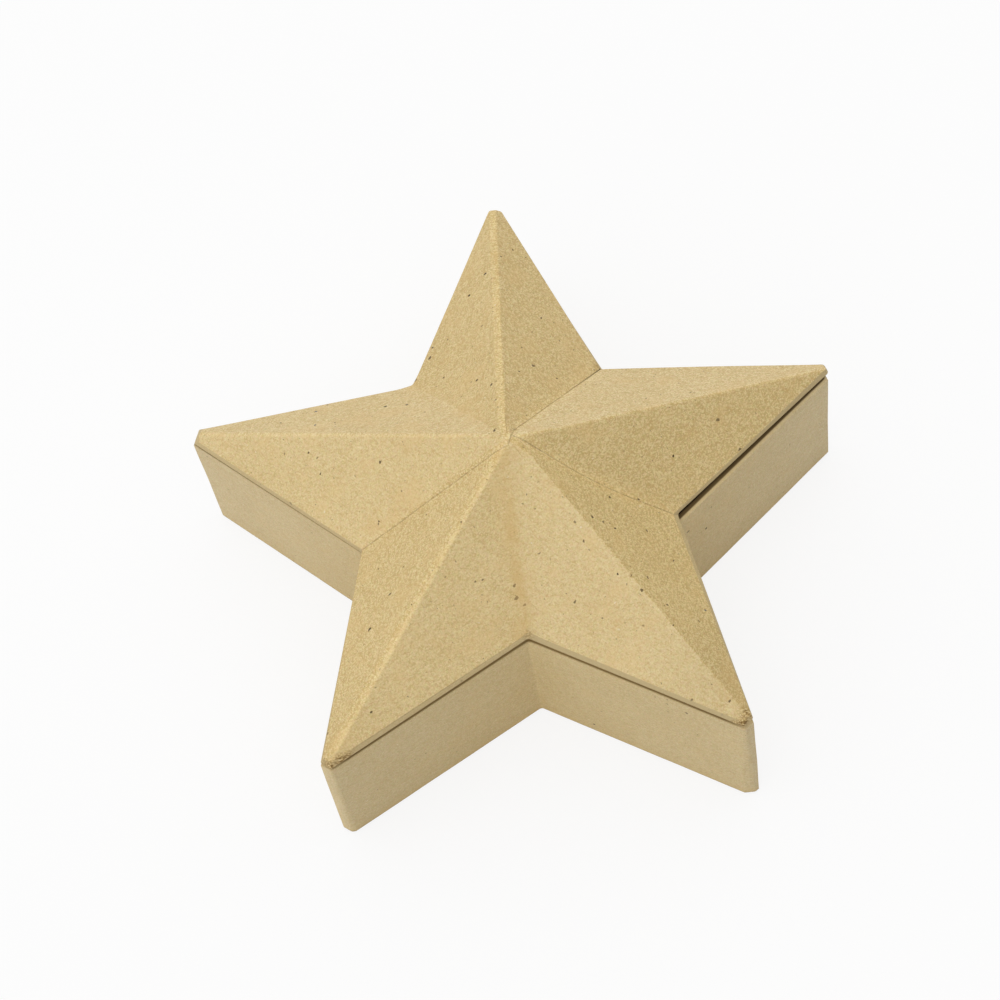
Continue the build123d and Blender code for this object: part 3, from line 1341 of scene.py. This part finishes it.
    def inner_path(self, panel: RoofPanel, share: np.ndarray) -> np.ndarray:
        """The panel's edge at the apex: its bent line, moved off the neighbours by half a gap.

        Args:
            panel: The panel.
            share: Share of the way along the line for each place.

        Returns:
            Places in plan.
        """
        bends = np.array(panel.inner)
        stations = np.linspace(0.0, 1.0, len(bends))
        path = np.stack([np.interp(share, stations, bends[:, k]) for k in range(2)], axis=-1)
        along = np.array(APEX_BACK) - np.array(APEX_FRONT)
        across = -left_of(along) / np.linalg.norm(along)
        return path + across * panel.inner_side * self.apex_gap / 2.0

    def at_seams(self, panel: RoofPanel, plan: np.ndarray) -> tuple[np.ndarray, ...]:
        """What a panel does along its two seams.

        Square to a seam, a place moves into the panel by half the gap times a bell of its distance from the
        seam, and to one side by the seam's bow, half a sine wave over its length. The edge also tucks down.

        Args:
            panel: The panel.
            plan: Places, as rows by columns by two.

        Returns:
            How far each place moves in plan, how far it tucks down, how dark the seam is there, and how pale.
        """
        shift = np.zeros_like(plan)
        tuck, dark, rubbed = (np.zeros(plan.shape[:2]) for _ in range(3))
        corners = self.edge.corners()
        ends = ((panel.first, panel.inner[0], 1.0), (panel.last, panel.inner[-1], -1.0))
        for corner, origin, turn in ends:
            seam = self.seams[corner % CORNERS]
            along = corners[corner % CORNERS] - np.array(origin)
            length = np.linalg.norm(along)
            along = along / length
            inwards = turn * left_of(along)
            offset = plan - np.array(origin)
            distance = offset @ inwards
            past = np.clip((offset @ along) / seam.start, 0.0, 1.0)
            share = np.clip((offset @ along) / length, 0.0, 1.0)
            half_gap = (seam.near + (seam.far - seam.near) * share**seam.gap_power) * past
            bow = -turn * seam.bow * np.sin(np.pi * share) ** seam.bow_power
            side = bow * bell(distance, seam.bow_reach)
            shift += (half_gap * bell(distance, seam.gap_reach) + side)[..., None] * inwards
            tuck += seam.tuck * bell(distance, seam.tuck_reach) * past
            dark += seam.dark * bell(distance, seam.dark_reach) * past
            rubbed += seam.rubbed * bell(distance, seam.rubbed_reach) * past
        return shift, tuck, dark, rubbed

    @staticmethod
    def row(plan: np.ndarray, height: np.ndarray) -> np.ndarray:
        """One row of places at the given heights."""
        return np.concatenate([plan, height[:, None]], axis=-1)[None]

    def lip(self, panel: RoofPanel, edge_row: np.ndarray, shift: np.ndarray) -> np.ndarray:
        """Rows of the lip below the facets' lower edge.

        They leave the edge as a power curve, out ahead of down, to the outline, and turn in over a small arc.
        The arc's foot stands above the seat by the lip's gap.

        Args:
            panel: The panel.
            edge_row: Places of the facets' lower edge.
            shift: How far the seams move each column in plan.

        Returns:
            Places, as rows by columns by three.
        """
        first, last = panel.first, panel.last
        edge, outline = self.edge.run(first, last), self.outline.run(first, last)
        gaps = self.edge.between_corners(by_corner(self.lip_gaps, 0.0), first, last)
        foot = self.seat_height + self.seat_gap + self.foot_round + gaps
        edge_height = edge_row[:, 2]
        rows = []
        for part in np.linspace(0.0, 1.0, self.lip_rows)[1:]:
            plan = edge + (outline - edge) * part**self.lip_out_power
            heights = edge_height + (foot - edge_height) * part**self.lip_down_power
            rows.append(self.row(plan + shift, heights))
        for turn in np.linspace(0.0, np.pi / 2.0, self.foot_rows)[1:]:
            plan = self.outline.run(first, last, self.foot_round * (1.0 - float(np.cos(turn))))
            rows.append(self.row(plan + shift, foot - self.foot_round * np.sin(turn)))
        return np.concatenate(rows)

    def underside(self, panel: RoofPanel, inner: np.ndarray, shift: np.ndarray, lip_count: int) -> np.ndarray:
        """Rows of the underside, from the seat back to the apex edge.

        The seat's rows rise evenly from the seat to the board's inner face, which lies a board's drop below
        the roof, and the other rows follow that face.

        Args:
            panel: The panel.
            inner: The panel's edge at the apex.
            shift: How far the seams move each column in plan.
            lip_count: How many rows the lip has, which is how many the seat has too.

        Returns:
            Places, as rows by columns by three.
        """
        seat_run = self.outline.run(panel.first, panel.last, self.seat_width) + shift
        seat_share = np.linspace(self.under_part, 1.0, lip_count + 1)[1:]
        face_share = self.under_part * crowded(self.top_rows, self.top_crowding)
        share = np.concatenate([face_share, seat_share])[::-1, None, None]
        plan = inner + (seat_run - inner) * share
        heights = self.height(plan)[0] - self.board_drop
        seat = self.seat_height + self.seat_gap
        rise_in = np.linspace(0.0, 1.0, lip_count)[:, None]
        heights[:lip_count] = seat + (np.maximum(heights[lip_count], seat) - seat) * rise_in
        return np.concatenate([plan, heights[..., None]], axis=-1)

    def grid(self, panel: RoofPanel) -> SheetGrid:
        """Surface of one panel.

        Top rows run from the apex edge to the facets' lower edge in shares of the way, with gentle ripples
        that calm down towards that edge. The lip and the underside follow.

        Args:
            panel: The panel.

        Returns:
            Its grid with its masks.
        """
        edge = self.edge.run(panel.first, panel.last)
        along = travelled(edge)
        inner = self.inner_path(panel, (along / along[-1] + np.linspace(0.0, 1.0, len(edge))) / 2.0)
        share = crowded(self.top_rows, self.top_crowding)[:, None, None]
        plan = inner + (edge - inner) * share
        shift, tuck, dark, rubbed = self.at_seams(panel, plan)
        plan = plan + shift
        heights, apart, seen = self.height(plan)
        swells = self.swell * ripple(plan, self.swell_length, ROOF_SWELL_SEED)
        dimples = self.dimple * ripple(plan, self.dimple_length, ROOF_DIMPLE_SEED)
        heights = heights + (swells + dimples) * (1.0 - share[..., 0] ** self.calm_power) - tuck
        top = np.concatenate([plan, heights[..., None]], axis=-1)
        lip = self.lip(panel, top[-1], shift[-1])
        points = np.concatenate([top, lip, self.underside(panel, inner, shift[-1], len(lip))])
        apex_dark = self.apex_dark * bell(np.linalg.norm(plan - inner, axis=-1), self.apex_dark_reach)
        masks = self.masks(points, apart, seen, np.maximum(dark, apex_dark))
        masks["tone"][: self.top_rows] += rubbed
        return SheetGrid(panel.piece, points, False, masks)

    def ridge_band(self, facet: np.ndarray, apart: np.ndarray) -> np.ndarray:
        """How much the ridges are lightened, partly rubbed wear and partly painted highlight: all over the
        bevel, with soft edges.

        Args:
            facet: Facet of each place.
            apart: How far apart the nearest ridge's planes are, in bevel widths.

        Returns:
            The band's strength.
        """
        rubbed = field_by_corner(self.ridges, "rubbed")[self.nearest_ridge(facet)]
        return rubbed * np.clip((self.rub_end - apart) / self.rub_soft, 0.0, 1.0)

    def valley_stain(self, plan: np.ndarray) -> np.ndarray:
        """How brown the paper is along the folded valleys: a bell across each, growing towards its notch.

        Args:
            plan: Places, as rows by columns by two.

        Returns:
            The stain's strength.
        """
        stain = np.zeros(plan.shape[:2])
        for corner, valley in self.valleys.items():
            share, distance, _ = self.off_arm(corner, plan)
            share = np.clip(share, 0.0, 1.0)
            growth = valley.apex_part + (1.0 - valley.apex_part) * share**3
            strength = valley.stain * growth * np.clip(share / valley.start, 0.0, 1.0)
            stain += strength * bell(distance - valley.lean, valley.reach)
        return stain

    def masks(
        self,
        points: np.ndarray,
        apart: np.ndarray,
        seen: np.ndarray,
        dark: np.ndarray,
    ) -> dict[str, np.ndarray]:
        """Masks of one panel.

        Args:
            points: The panel's grid.
            apart: How far apart the nearest ridge's planes are, in bevel widths, on the top rows.
            seen: Number of the facet that shows on the top rows.
            dark: How dark the seams are on the top rows.

        Returns:
            Masks by name.
        """
        half = points.shape[0] // 2
        top, lip = slice(0, self.top_rows), slice(self.top_rows, half)
        crease = slice(self.top_rows - 1, self.top_rows + 1)
        slot = slice(self.top_rows + self.lip_rows - 1, half + 2)
        names = ("valley", "ridge", "lip", "crease", "scuff", "seam", "gap")
        masks = {name: np.zeros(points.shape[:2]) for name in names}
        facet = self.facet_of(points[..., :2])
        masks["ridge"][top] = self.ridge_band(facet[top], apart)
        facet[top] = seen
        # Per-facet tone, paleness and grain shading, partly painted light and shade.
        for name in ("tone", "pale", "coarse"):
            masks[name] = field_by_corner(self.facets, name)[facet]
        for shade in self.shades:
            masks["tone"] += shade.share(points)
        masks["valley"][top] = self.valley_stain(points[top, :, :2])
        # Lip mask: its own tint plus painted shade, stronger on some sides.
        masks["lip"][lip] = by_corner(self.lip_shades, 1.0)[facet[lip]]
        masks["crease"][crease] = self.crease.share(points[crease])
        # Painted shade of the slot on the lip's foot and underside, left out at the worn front tips.
        masks["gap"][slot] = slot_shade_share(points[slot, :, :2], self.outline)
        masks["seam"][top] = dark
        masks["seam"][lip] = dark[-1]
        for name, spots in (("seam", self.blots), ("scuff", self.scuffs)):
            for spot in spots:
                masks[name] = np.maximum(masks[name], spot.share(points))
        return masks

    def build(self, low: np.ndarray, high: np.ndarray) -> None:
        """Builds and dresses the three panels.

        Args:
            low: Lowest corner that a panel may reach.
            high: Highest corner.
        """
        finish = self.paper.material()
        for panel in self.panels:
            piece = self.grid(panel).build(low, high)
            piece.data.materials.append(finish)
            settle(piece, Body.LID, panel.node)


@dataclass(frozen=True)
class Slot:
    """The strip of a side's top edge that is painted as the slot's shade: how far in it starts and ends, how
    strongly the painted shade is mixed in, and how much its tone darkens it.
    """

    start: float = 0.0
    end: float = 1.6
    share: float = 0.0
    tone: float = 0.0


@dataclass
class FoldedBand:
    """A strip of board folded round the star: a rounded rectangle of a profile carried along the outline.

    The outline changes evenly from the foot's star to the top's, so a side may lean.
    """

    name: str
    node: str
    slot: str
    body: Body
    paper: KraftPaper
    foot_star: StarPlan
    top_star: StarPlan
    inset: float
    board: float
    foot: float
    top: float

    # Form: the rounded edges, the fall of the top edge, the bow of the sides and the wobble of the foot
    top_round: float = 0.5
    foot_round: float = 0.15
    top_slant: float = 0.0
    fall_width: float = 1.4
    fall_power: int = 6
    bow: float = 0.06
    bow_length: float = 34.0
    wobble: float = 0.06
    wobble_length: float = 22.0
    wobble_reach: float = 6.0

    # Marks along the foot and the top edge, and the painted shade of the slot on the top edge
    foot_reach: float = 2.2
    grime_reach: float = 0.35
    outer_part: float = 0.9
    edge_lead: float = 0.8
    slot_lead: float = 0.06
    slot_fade_in: float = 0.35
    slot_fade_out: float = 0.3
    slot_depth: float = 0.45

    # Rows of the grid
    face_rows: int = 46
    face_crowding: float = 0.5
    arc_rows: int = 7
    foot_rows: int = 6
    top_rows: int = 14

    # What differs from corner to corner and from side to side
    top_falls: Mapping[int, float] = field(default_factory=dict)
    side_tones: Mapping[int, tuple[float, float]] = field(default_factory=dict)
    corner_tones: Mapping[int, tuple[float, float]] = field(default_factory=dict)
    nose_tones: Mapping[int, float] = field(default_factory=dict)
    slots: Mapping[int, Slot] = field(default_factory=dict)

    def profile(self) -> tuple[np.ndarray, np.ndarray]:
        """The board's section, from the foot's inner edge, out, up, over and down.

        Returns:
            Insets and heights round the section.
        """
        turn = np.linspace(0.0, np.pi / 2.0, self.arc_rows)
        low, curl = self.foot_round, self.top_round
        near, far = self.inset, self.inset + self.board
        rise = crowded(self.face_rows, self.face_crowding)
        high = self.top + self.top_slant
        faces = [
            (np.linspace(far, near + low, self.foot_rows), np.full(self.foot_rows, self.foot)),
            (near + low * (1.0 - np.sin(turn)), self.foot + low * (1.0 - np.cos(turn))),
            (np.full(self.face_rows, near), self.foot + low + (self.top - self.foot - low - curl) * rise),
            (near + curl * (1.0 - np.cos(turn)), self.top - curl * (1.0 - np.sin(turn))),
            (np.linspace(near + curl, far, self.top_rows), np.linspace(self.top, high, self.top_rows)),
            (np.full(self.face_rows, far), high + (self.foot - high) * rise),
        ]
        insets, heights = (np.concatenate([face[k][:-1] for face in faces]) for k in range(2))
        return insets, heights

    def along(self, values: np.ndarray) -> np.ndarray:
        """Values at each place of the outline, passing evenly from one corner's value to the next one's."""
        return self.foot_star.between_corners(values, 0, CORNERS)[:-1]

    def shades(self, side: np.ndarray) -> tuple[np.ndarray, np.ndarray]:
        """Tone and paleness of the paper at each place of the outline.

        They are those of the side plus those of the corners, which pass evenly into each other. A nose has a
        tone of its own besides. Side and nose tones partly paint light and shade: darker facing the dim side,
        lighter facing the light.

        Args:
            side: Number of the side that each place belongs to.

        Returns:
            Tones, and palenesses.
        """
        sides = by_corner(self.side_tones, (0.0, 0.0))[side]
        corners = by_corner(self.corner_tones, (0.0, 0.0))
        steps = self.foot_star.steps
        place = np.arange(len(side))
        nearest = (place + steps // 2) // steps
        on_nose = np.abs(place - nearest * steps) <= self.foot_star.corner_steps // 4
        noses = by_corner(self.nose_tones, 0.0)[nearest % CORNERS] * on_nose
        return sides[:, 0] + self.along(corners[:, 0]) + noses, sides[:, 1] + self.along(corners[:, 1])

    def slot_strip(
        self,
        insets: np.ndarray,
        heights: np.ndarray,
        runs: np.ndarray,
        side: np.ndarray,
    ) -> np.ndarray:
        """Where the top edge is painted as lying in the shade of the slot: a strip from its side's start to
        its end.

        Args:
            insets: Insets of the profile.
            heights: Heights of the profile.
            runs: Places in plan, as profile by outline.
            side: Number of the side that each place belongs to.

        Returns:
            Shares from 0 to 1, as profile by outline.
        """
        inside = (insets - self.inset)[:, None]
        start, end = (field_by_corner(self.slots, name)[side] for name in ("start", "end"))
        begun = np.clip((inside - start - self.slot_lead) / self.slot_fade_in, 0.0, 1.0)
        left = np.clip((end - inside) / self.slot_fade_out, 0.0, 1.0)
        on_top = (heights > self.top - self.slot_depth)[:, None]
        return on_top * begun * left * slot_shade_share(runs, self.top_star)

    def grid(self) -> SheetGrid:
        """The band's surface, gently bowed, with an uneven foot and a top edge that falls outwards.

        Returns:
            Its grid with its masks.
        """
        insets, heights = self.profile()
        stars = (self.foot_star, self.top_star)
        foot_runs, top_runs = (
            np.stack([star.run(0, CORNERS, float(inset))[:-1] for inset in insets]) for star in stars
        )
        part = (heights - self.foot) / (self.top - self.foot)
        runs = foot_runs + (top_runs - foot_runs) * part[:, None, None]
        part = np.clip(part, 0.0, 1.0)
        levels = np.repeat(heights[:, None], runs.shape[1], axis=1)
        points = np.concatenate([runs, levels[..., None]], axis=-1)
        bows = self.bow * ripple(points, self.bow_length, BAND_BOW_SEED) * np.sin(np.pi * part)[:, None]
        points[..., :2] += outward(runs[0]) * bows[..., None]
        lifts = self.wobble * np.clip(ripple(runs, self.wobble_length, BAND_FOOT_SEED), 0.0, None)
        points[..., 2] += lifts * bell(levels - self.foot, self.wobble_reach)
        fall_share = (self.inset + self.fall_width - insets) / (self.fall_width - self.top_round)
        fall_share = np.clip(fall_share, 0.0, 1.0) * part**self.fall_power
        points[..., 2] -= self.along(by_corner(self.top_falls, 0.0)) * fall_share[:, None]
        side = self.foot_star.side_numbers()
        tones, palenesses = self.shades(side)
        strip = self.slot_strip(insets, heights, runs, side)
        outer = (insets < self.inset + self.outer_part * self.board)[:, None]
        masks = {
            "foot": bell(levels - self.foot, self.foot_reach) * outer,
            "grime": bell(levels - self.foot, self.grime_reach),
            "coarse": np.zeros((1, 1)),
            "edge": np.clip((heights - self.top) / self.top_round + self.edge_lead, 0.0, 1.0)[:, None],
            # The slot strip's tone darkens it further as painted shade.
            "tone": tones + strip * field_by_corner(self.slots, "tone")[side],
            "pale": palenesses,
            "hollow": strip * field_by_corner(self.slots, "share")[side],
        }
        return SheetGrid(self.name, points, True, masks)

    def build(self, low: np.ndarray, high: np.ndarray) -> None:
        """Builds and dresses the band.

        Args:
            low: Lowest corner that the band may reach.
            high: Highest corner.
        """
        piece = self.grid().build(low, high)
        piece.data.materials.append(self.paper.material())
        settle(piece, self.body, self.node)


@dataclass
class Studio:
    """Pale floor, white surroundings with one dimmer side, and a large soft lamp overhead."""

    floor_colour: Colour = (0.86, 0.86, 0.86, 1.0)
    floor_half: float = 3.0
    floor_drop: float = 0.0003
    floor_points: int = 9
    shadow_share: float = 0.17
    sky_strength: float = 1.0
    dim_side: tuple[float, float] = (336.0, -10.0)
    dim_from: float = 0.45
    dim_to: float = 0.85
    dimming: float = 0.9
    lamp_place: tuple[float, float, float] = (-0.3, -0.1, 1.8)
    lamp_size: float = 1.1
    lamp_power: float = 3.0

    @staticmethod
    def backdrop_rays(shader: Shader) -> Wire:
        """1 for rays that should meet a white background: camera, mirror and glass rays."""
        camera = shader.node("ShaderNodeLightPath", output="Is Camera Ray")
        return (camera + camera.beside("Is Glossy Ray") + camera.beside("Is Transmission Ray")).clamped()

    def floor(self) -> None:
        """The floor: white to the camera with the object's shadow in it, plain pale to the light."""
        shader = Shader(bpy.data.materials.new("studio_floor"))
        matt = shader.node("ShaderNodeBsdfDiffuse", {}, {"Color": self.floor_colour})
        glow = shader.node("ShaderNodeEmission", {}, {"Color": WHITE, "Strength": 1.0})
        factor = self.backdrop_rays(shader) * (1.0 - self.shadow_share)
        shader.show(shader.node("ShaderNodeMixShader", {}, {0: factor, 1: matt, 2: glow}))
        across = np.linspace(-self.floor_half, self.floor_half, self.floor_points)
        x, y = np.meshgrid(across, across, indexing="xy")
        places = np.stack([x, y, np.full_like(x, -self.floor_drop)], axis=-1).reshape(-1, 3)
        mesh = bpy.data.meshes.new("studio_floor")
        mesh.from_pydata(places.tolist(), [], cells(np.arange(x.size).reshape(x.shape)).tolist())
        mesh.materials.append(shader.owner)
        add_object("studio_floor", mesh)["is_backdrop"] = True

    def sky(self) -> None:
        """White surroundings, dimmer low on the right, and pure white for the camera.

        The light falls with the cosine between its direction and the middle of the dim side, from all of it
        to what the dimming leaves.
        """
        world = bpy.data.worlds.new("studio_sky")
        shader = Shader(world)
        azimuth, elevation = np.radians(self.dim_side)
        level = np.cos(elevation)
        dim_middle = (level * np.cos(azimuth), level * np.sin(azimuth), np.sin(elevation))
        direction = shader.node("ShaderNodeTexCoord", output="Generated")
        dot = {"operation": "DOT_PRODUCT"}
        cosine = shader.node("ShaderNodeVectorMath", dot, {0: direction, 1: dim_middle}, "Value")
        strength = self.sky_strength * (1.0 - cosine.over(self.dim_from, self.dim_to) * self.dimming)
        glow = shader.node("ShaderNodeBackground", {}, {"Color": WHITE, "Strength": strength})
        plain = shader.node("ShaderNodeBackground", {}, {"Color": WHITE, "Strength": 1.0})
        factor = self.backdrop_rays(shader)
        surface = shader.node("ShaderNodeMixShader", {}, {0: factor, 1: glow, 2: plain})
        shader.show(surface, "ShaderNodeOutputWorld")
        bpy.context.scene.world = world

    def lamp(self) -> None:
        """The large soft lamp, aimed at the box."""
        light = bpy.data.lights.new("soft_lamp", "AREA")
        light.shape = "DISK"
        light.size = self.lamp_size
        light.energy = self.lamp_power
        lamp = add_object("soft_lamp", light)
        lamp.location = self.lamp_place
        lamp.rotation_euler = (-Vector(self.lamp_place)).to_track_quat("-Z", "Y").to_euler()

    def build(self) -> None:
        """Sets floor, sky, lamp and the plain view."""
        self.floor()
        self.sky()
        self.lamp()
        bpy.context.scene.view_settings.view_transform = "Standard"


@dataclass
class PhotoCamera:
    """Camera of the photograph: where it stands, what it aims at, how it leans and its lens."""

    place: tuple[float, float, float] = (31.78, -355.89, 656.22)
    aim: tuple[float, float, float] = (-5.57, 5.51, 30.0)
    lean: float = -11.16
    lens: float = 91.66
    film: float = 36.0

    def build(self) -> None:
        """Makes the camera. Its up vector is the upright one, turned about the line of sight by the lean."""
        data = bpy.data.cameras.new("photo_camera")
        data.sensor_fit = "HORIZONTAL"
        data.sensor_width = self.film
        data.lens = self.lens
        sight = (Vector(self.aim) - Vector(self.place)).normalized()
        level = sight.cross(Vector((0.0, 0.0, 1.0))).normalized()
        upright = level.cross(sight)
        lean = np.radians(self.lean)
        right = level * np.cos(lean) + upright * np.sin(lean)
        up = upright * np.cos(lean) - level * np.sin(lean)
        turn = Matrix((right, up, -sight)).transposed().to_4x4()
        camera = add_object("photo_camera", data)
        camera.matrix_world = Matrix.Translation(Vector(self.place) * MM) @ turn
        bpy.context.scene.camera = camera


def lid_roof(seat_height: float) -> LidRoof:
    """The roof, with the star of its facets' lower edge inside the star of its lip.

    Args:
        seat_height: Height of the wall's top edge, where the roof rests.

    Returns:
        The roof, not built yet.
    """
    paper = RoofPaper("roof_kraft_paper", (0.643, 0.49, 0.233, 1.0))
    edge = StarPlan(
        inset=0.72,
        notch_round=1.0,
        nose_rounds={Corner.BACK: 0.9, Corner.RIGHT: 1.0},
        nose_cuts={
            Corner.BACK: 4.5,
            Corner.LEFT: 5.5,
            Corner.FRONT_LEFT: 3.4,
            Corner.FRONT_RIGHT: 3.4,
            Corner.RIGHT: 3.2,
        },
        nudges={
            Corner.BACK: (0.5, 1.0),
            Corner.BACK_LEFT_NOTCH: (-0.38, 0.12),
            Corner.LEFT: (0.0, -0.4),
            Corner.LEFT_NOTCH: (-0.46, -0.30),
            Corner.FRONT_LEFT: (0.3, 0.18),
            Corner.FRONT_NOTCH: (0.32, 0.19),
            Corner.FRONT_RIGHT: (-0.1, 0.1),
            Corner.RIGHT_NOTCH: (-0.76, 0.37),
            Corner.RIGHT: (-1.1, -0.4),
            Corner.BACK_RIGHT_NOTCH: (-0.1, -0.75),
        },
    )
    outline = StarPlan(
        notch_round=1.6,
        nose_rounds={Corner.BACK: 1.1, Corner.RIGHT: 1.2},
        nose_cuts={Corner.BACK: 4.8, Corner.LEFT: 6.0, Corner.RIGHT: 4.0},
        nudges={
            Corner.BACK: (0.3, 0.4),
            Corner.BACK_LEFT_NOTCH: (0.0, -0.3),
            Corner.LEFT: (-0.1, -0.4),
            Corner.FRONT_LEFT: (0.35, 0.2),
            Corner.FRONT_RIGHT: (-0.6, 0.35),
            Corner.RIGHT_NOTCH: (-0.28, 1.27),
            Corner.RIGHT: (-1.5, -0.7),
            Corner.BACK_RIGHT_NOTCH: (-0.1, -0.95),
        },
    )
    return LidRoof(paper, edge, outline, seat_height)


def base_wall(top: float) -> FoldedBand:
    """The wall, whose foot and top follow stars that differ a little.

    Args:
        top: Height of its top edge.

    Returns:
        The wall, not built yet.
    """
    paper = WallPaper(
        "wall_kraft_paper", (0.608, 0.479, 0.256, 1.0), grain=1.9, mottle=0.45, warmth=0.15, fibres=0.12,
        streaks=0.55, speck_share=0.05, fleck_share=0.10,
    )
    corner_forms = {
        "nose_cuts": {Corner.LEFT: 5.2, Corner.FRONT_RIGHT: 3.8, Corner.RIGHT: 5.0},
        "nose_round": 0.3,
        "notch_round": 1.4,
    }
    foot_star = StarPlan(**corner_forms, nudges={
        Corner.LEFT: (0.27, 0.31),
        Corner.LEFT_NOTCH: (0.27, 0.31),
        Corner.FRONT_LEFT: (-0.15, -0.2),
        Corner.FRONT_NOTCH: (0.0, -0.15),
        Corner.FRONT_RIGHT: (0.3, -0.5),
        Corner.RIGHT_NOTCH: (0.1, -0.6),
        Corner.RIGHT: (-0.3, -0.27),
    })
    top_star = StarPlan(**corner_forms, nudges={
        Corner.LEFT: (-0.1, -0.2),
        Corner.FRONT_LEFT: (0.1, 0.06),
        Corner.FRONT_RIGHT: (-0.6, 0.35),
        Corner.RIGHT_NOTCH: (0.0, -1.0),
        Corner.RIGHT: (-1.1, -1.6),
    })
    return FoldedBand(
        "base_wall_band", "base_wall", "wall_kraft", Body.BASE, paper, foot_star, top_star,
        inset=0.0, board=2.0, foot=0.0, top=top,
        top_falls={
            Corner.LEFT: 0.65,
            Corner.LEFT_NOTCH: 0.1,
            Corner.FRONT_LEFT: 0.6,
            Corner.FRONT_NOTCH: 0.75,
            Corner.FRONT_RIGHT: 0.7,
            Corner.RIGHT_NOTCH: 0.2,
            Corner.RIGHT: 0.2,
        },
        # Side tones, and the nose tones below, partly paint light and shade by which way each side faces.
        side_tones={
            Corner.LEFT: (0.0, 0.03),
            Corner.FRONT_LEFT: (-0.045, 0.0),
            Corner.FRONT_NOTCH: (-0.02, -0.02),
            Corner.RIGHT_NOTCH: (0.01, 0.03),
        },
        corner_tones={
            Corner.LEFT: (0.0, 0.05),
            Corner.LEFT_NOTCH: (0.015, -0.05),
            Corner.FRONT_LEFT: (-0.005, 0.04),
            Corner.FRONT_NOTCH: (0.025, -0.05),
            Corner.FRONT_RIGHT: (-0.01, 0.06),
            Corner.RIGHT_NOTCH: (0.03, -0.05),
            Corner.RIGHT: (-0.01, 0.06),
        },
        nose_tones={Corner.FRONT_LEFT: 0.04, Corner.FRONT_RIGHT: -0.04},
        # Painted shade of the slot on the wall's top edge, darkest on the right notch's side.
        slots={
            Corner.LEFT: Slot(share=1.0),
            Corner.FRONT_LEFT: Slot(share=1.0),
            Corner.FRONT_NOTCH: Slot(share=1.0),
            Corner.RIGHT_NOTCH: Slot(start=0.65, end=9.0, share=1.15, tone=-0.6),
        },
    )


def lid_collar(foot: float, wall_top: float) -> FoldedBand:
    """The collar inside the lid, whose top slants up inwards under the roof.

    Args:
        foot: Height of its foot.
        wall_top: Height of the wall's top edge, which the collar stands a little above.

    Returns:
        The collar, not built yet.
    """
    paper = WallPaper("collar_kraft_paper", (0.57, 0.46, 0.25, 1.0), speck_share=0.10)
    return FoldedBand(
        "lid_collar_band", "lid_collar", "collar_kraft", Body.LID, paper, StarPlan(), StarPlan(),
        inset=3.5, board=1.5, foot=foot, top=wall_top + 1.0, top_round=0.3, top_slant=0.8, bow=0.03,
    )


def dress_floor(board: bpy.types.Object) -> None:
    """Gives the base's floor board its paper.

    Args:
        board: The frame's own object.
    """
    paper = KraftPaper("inner_kraft_paper", (0.57, 0.46, 0.25, 1.0), speck_share=0.10)
    board.data.materials.clear()
    board.data.materials.append(paper.material())
    log.info("base_floor: dressed in %s", paper.name)


def main() -> None:
    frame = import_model()
    solid_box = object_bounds()
    low, high = (np.array(corner) / MM for corner in solid_box)
    wall_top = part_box("base_wall")[1][2] / MM
    collar_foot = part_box("lid_collar")[0][2] / MM
    lid_roof(wall_top).build(low, high)
    base_wall(wall_top).build(low, high)
    lid_collar(collar_foot, wall_top).build(low, high)
    dress_floor(frame["nodes"]["base_floor"])
    Studio().build()
    PhotoCamera().build()


if __name__ == "__main__":
    logging.basicConfig(level=logging.INFO)
    main()
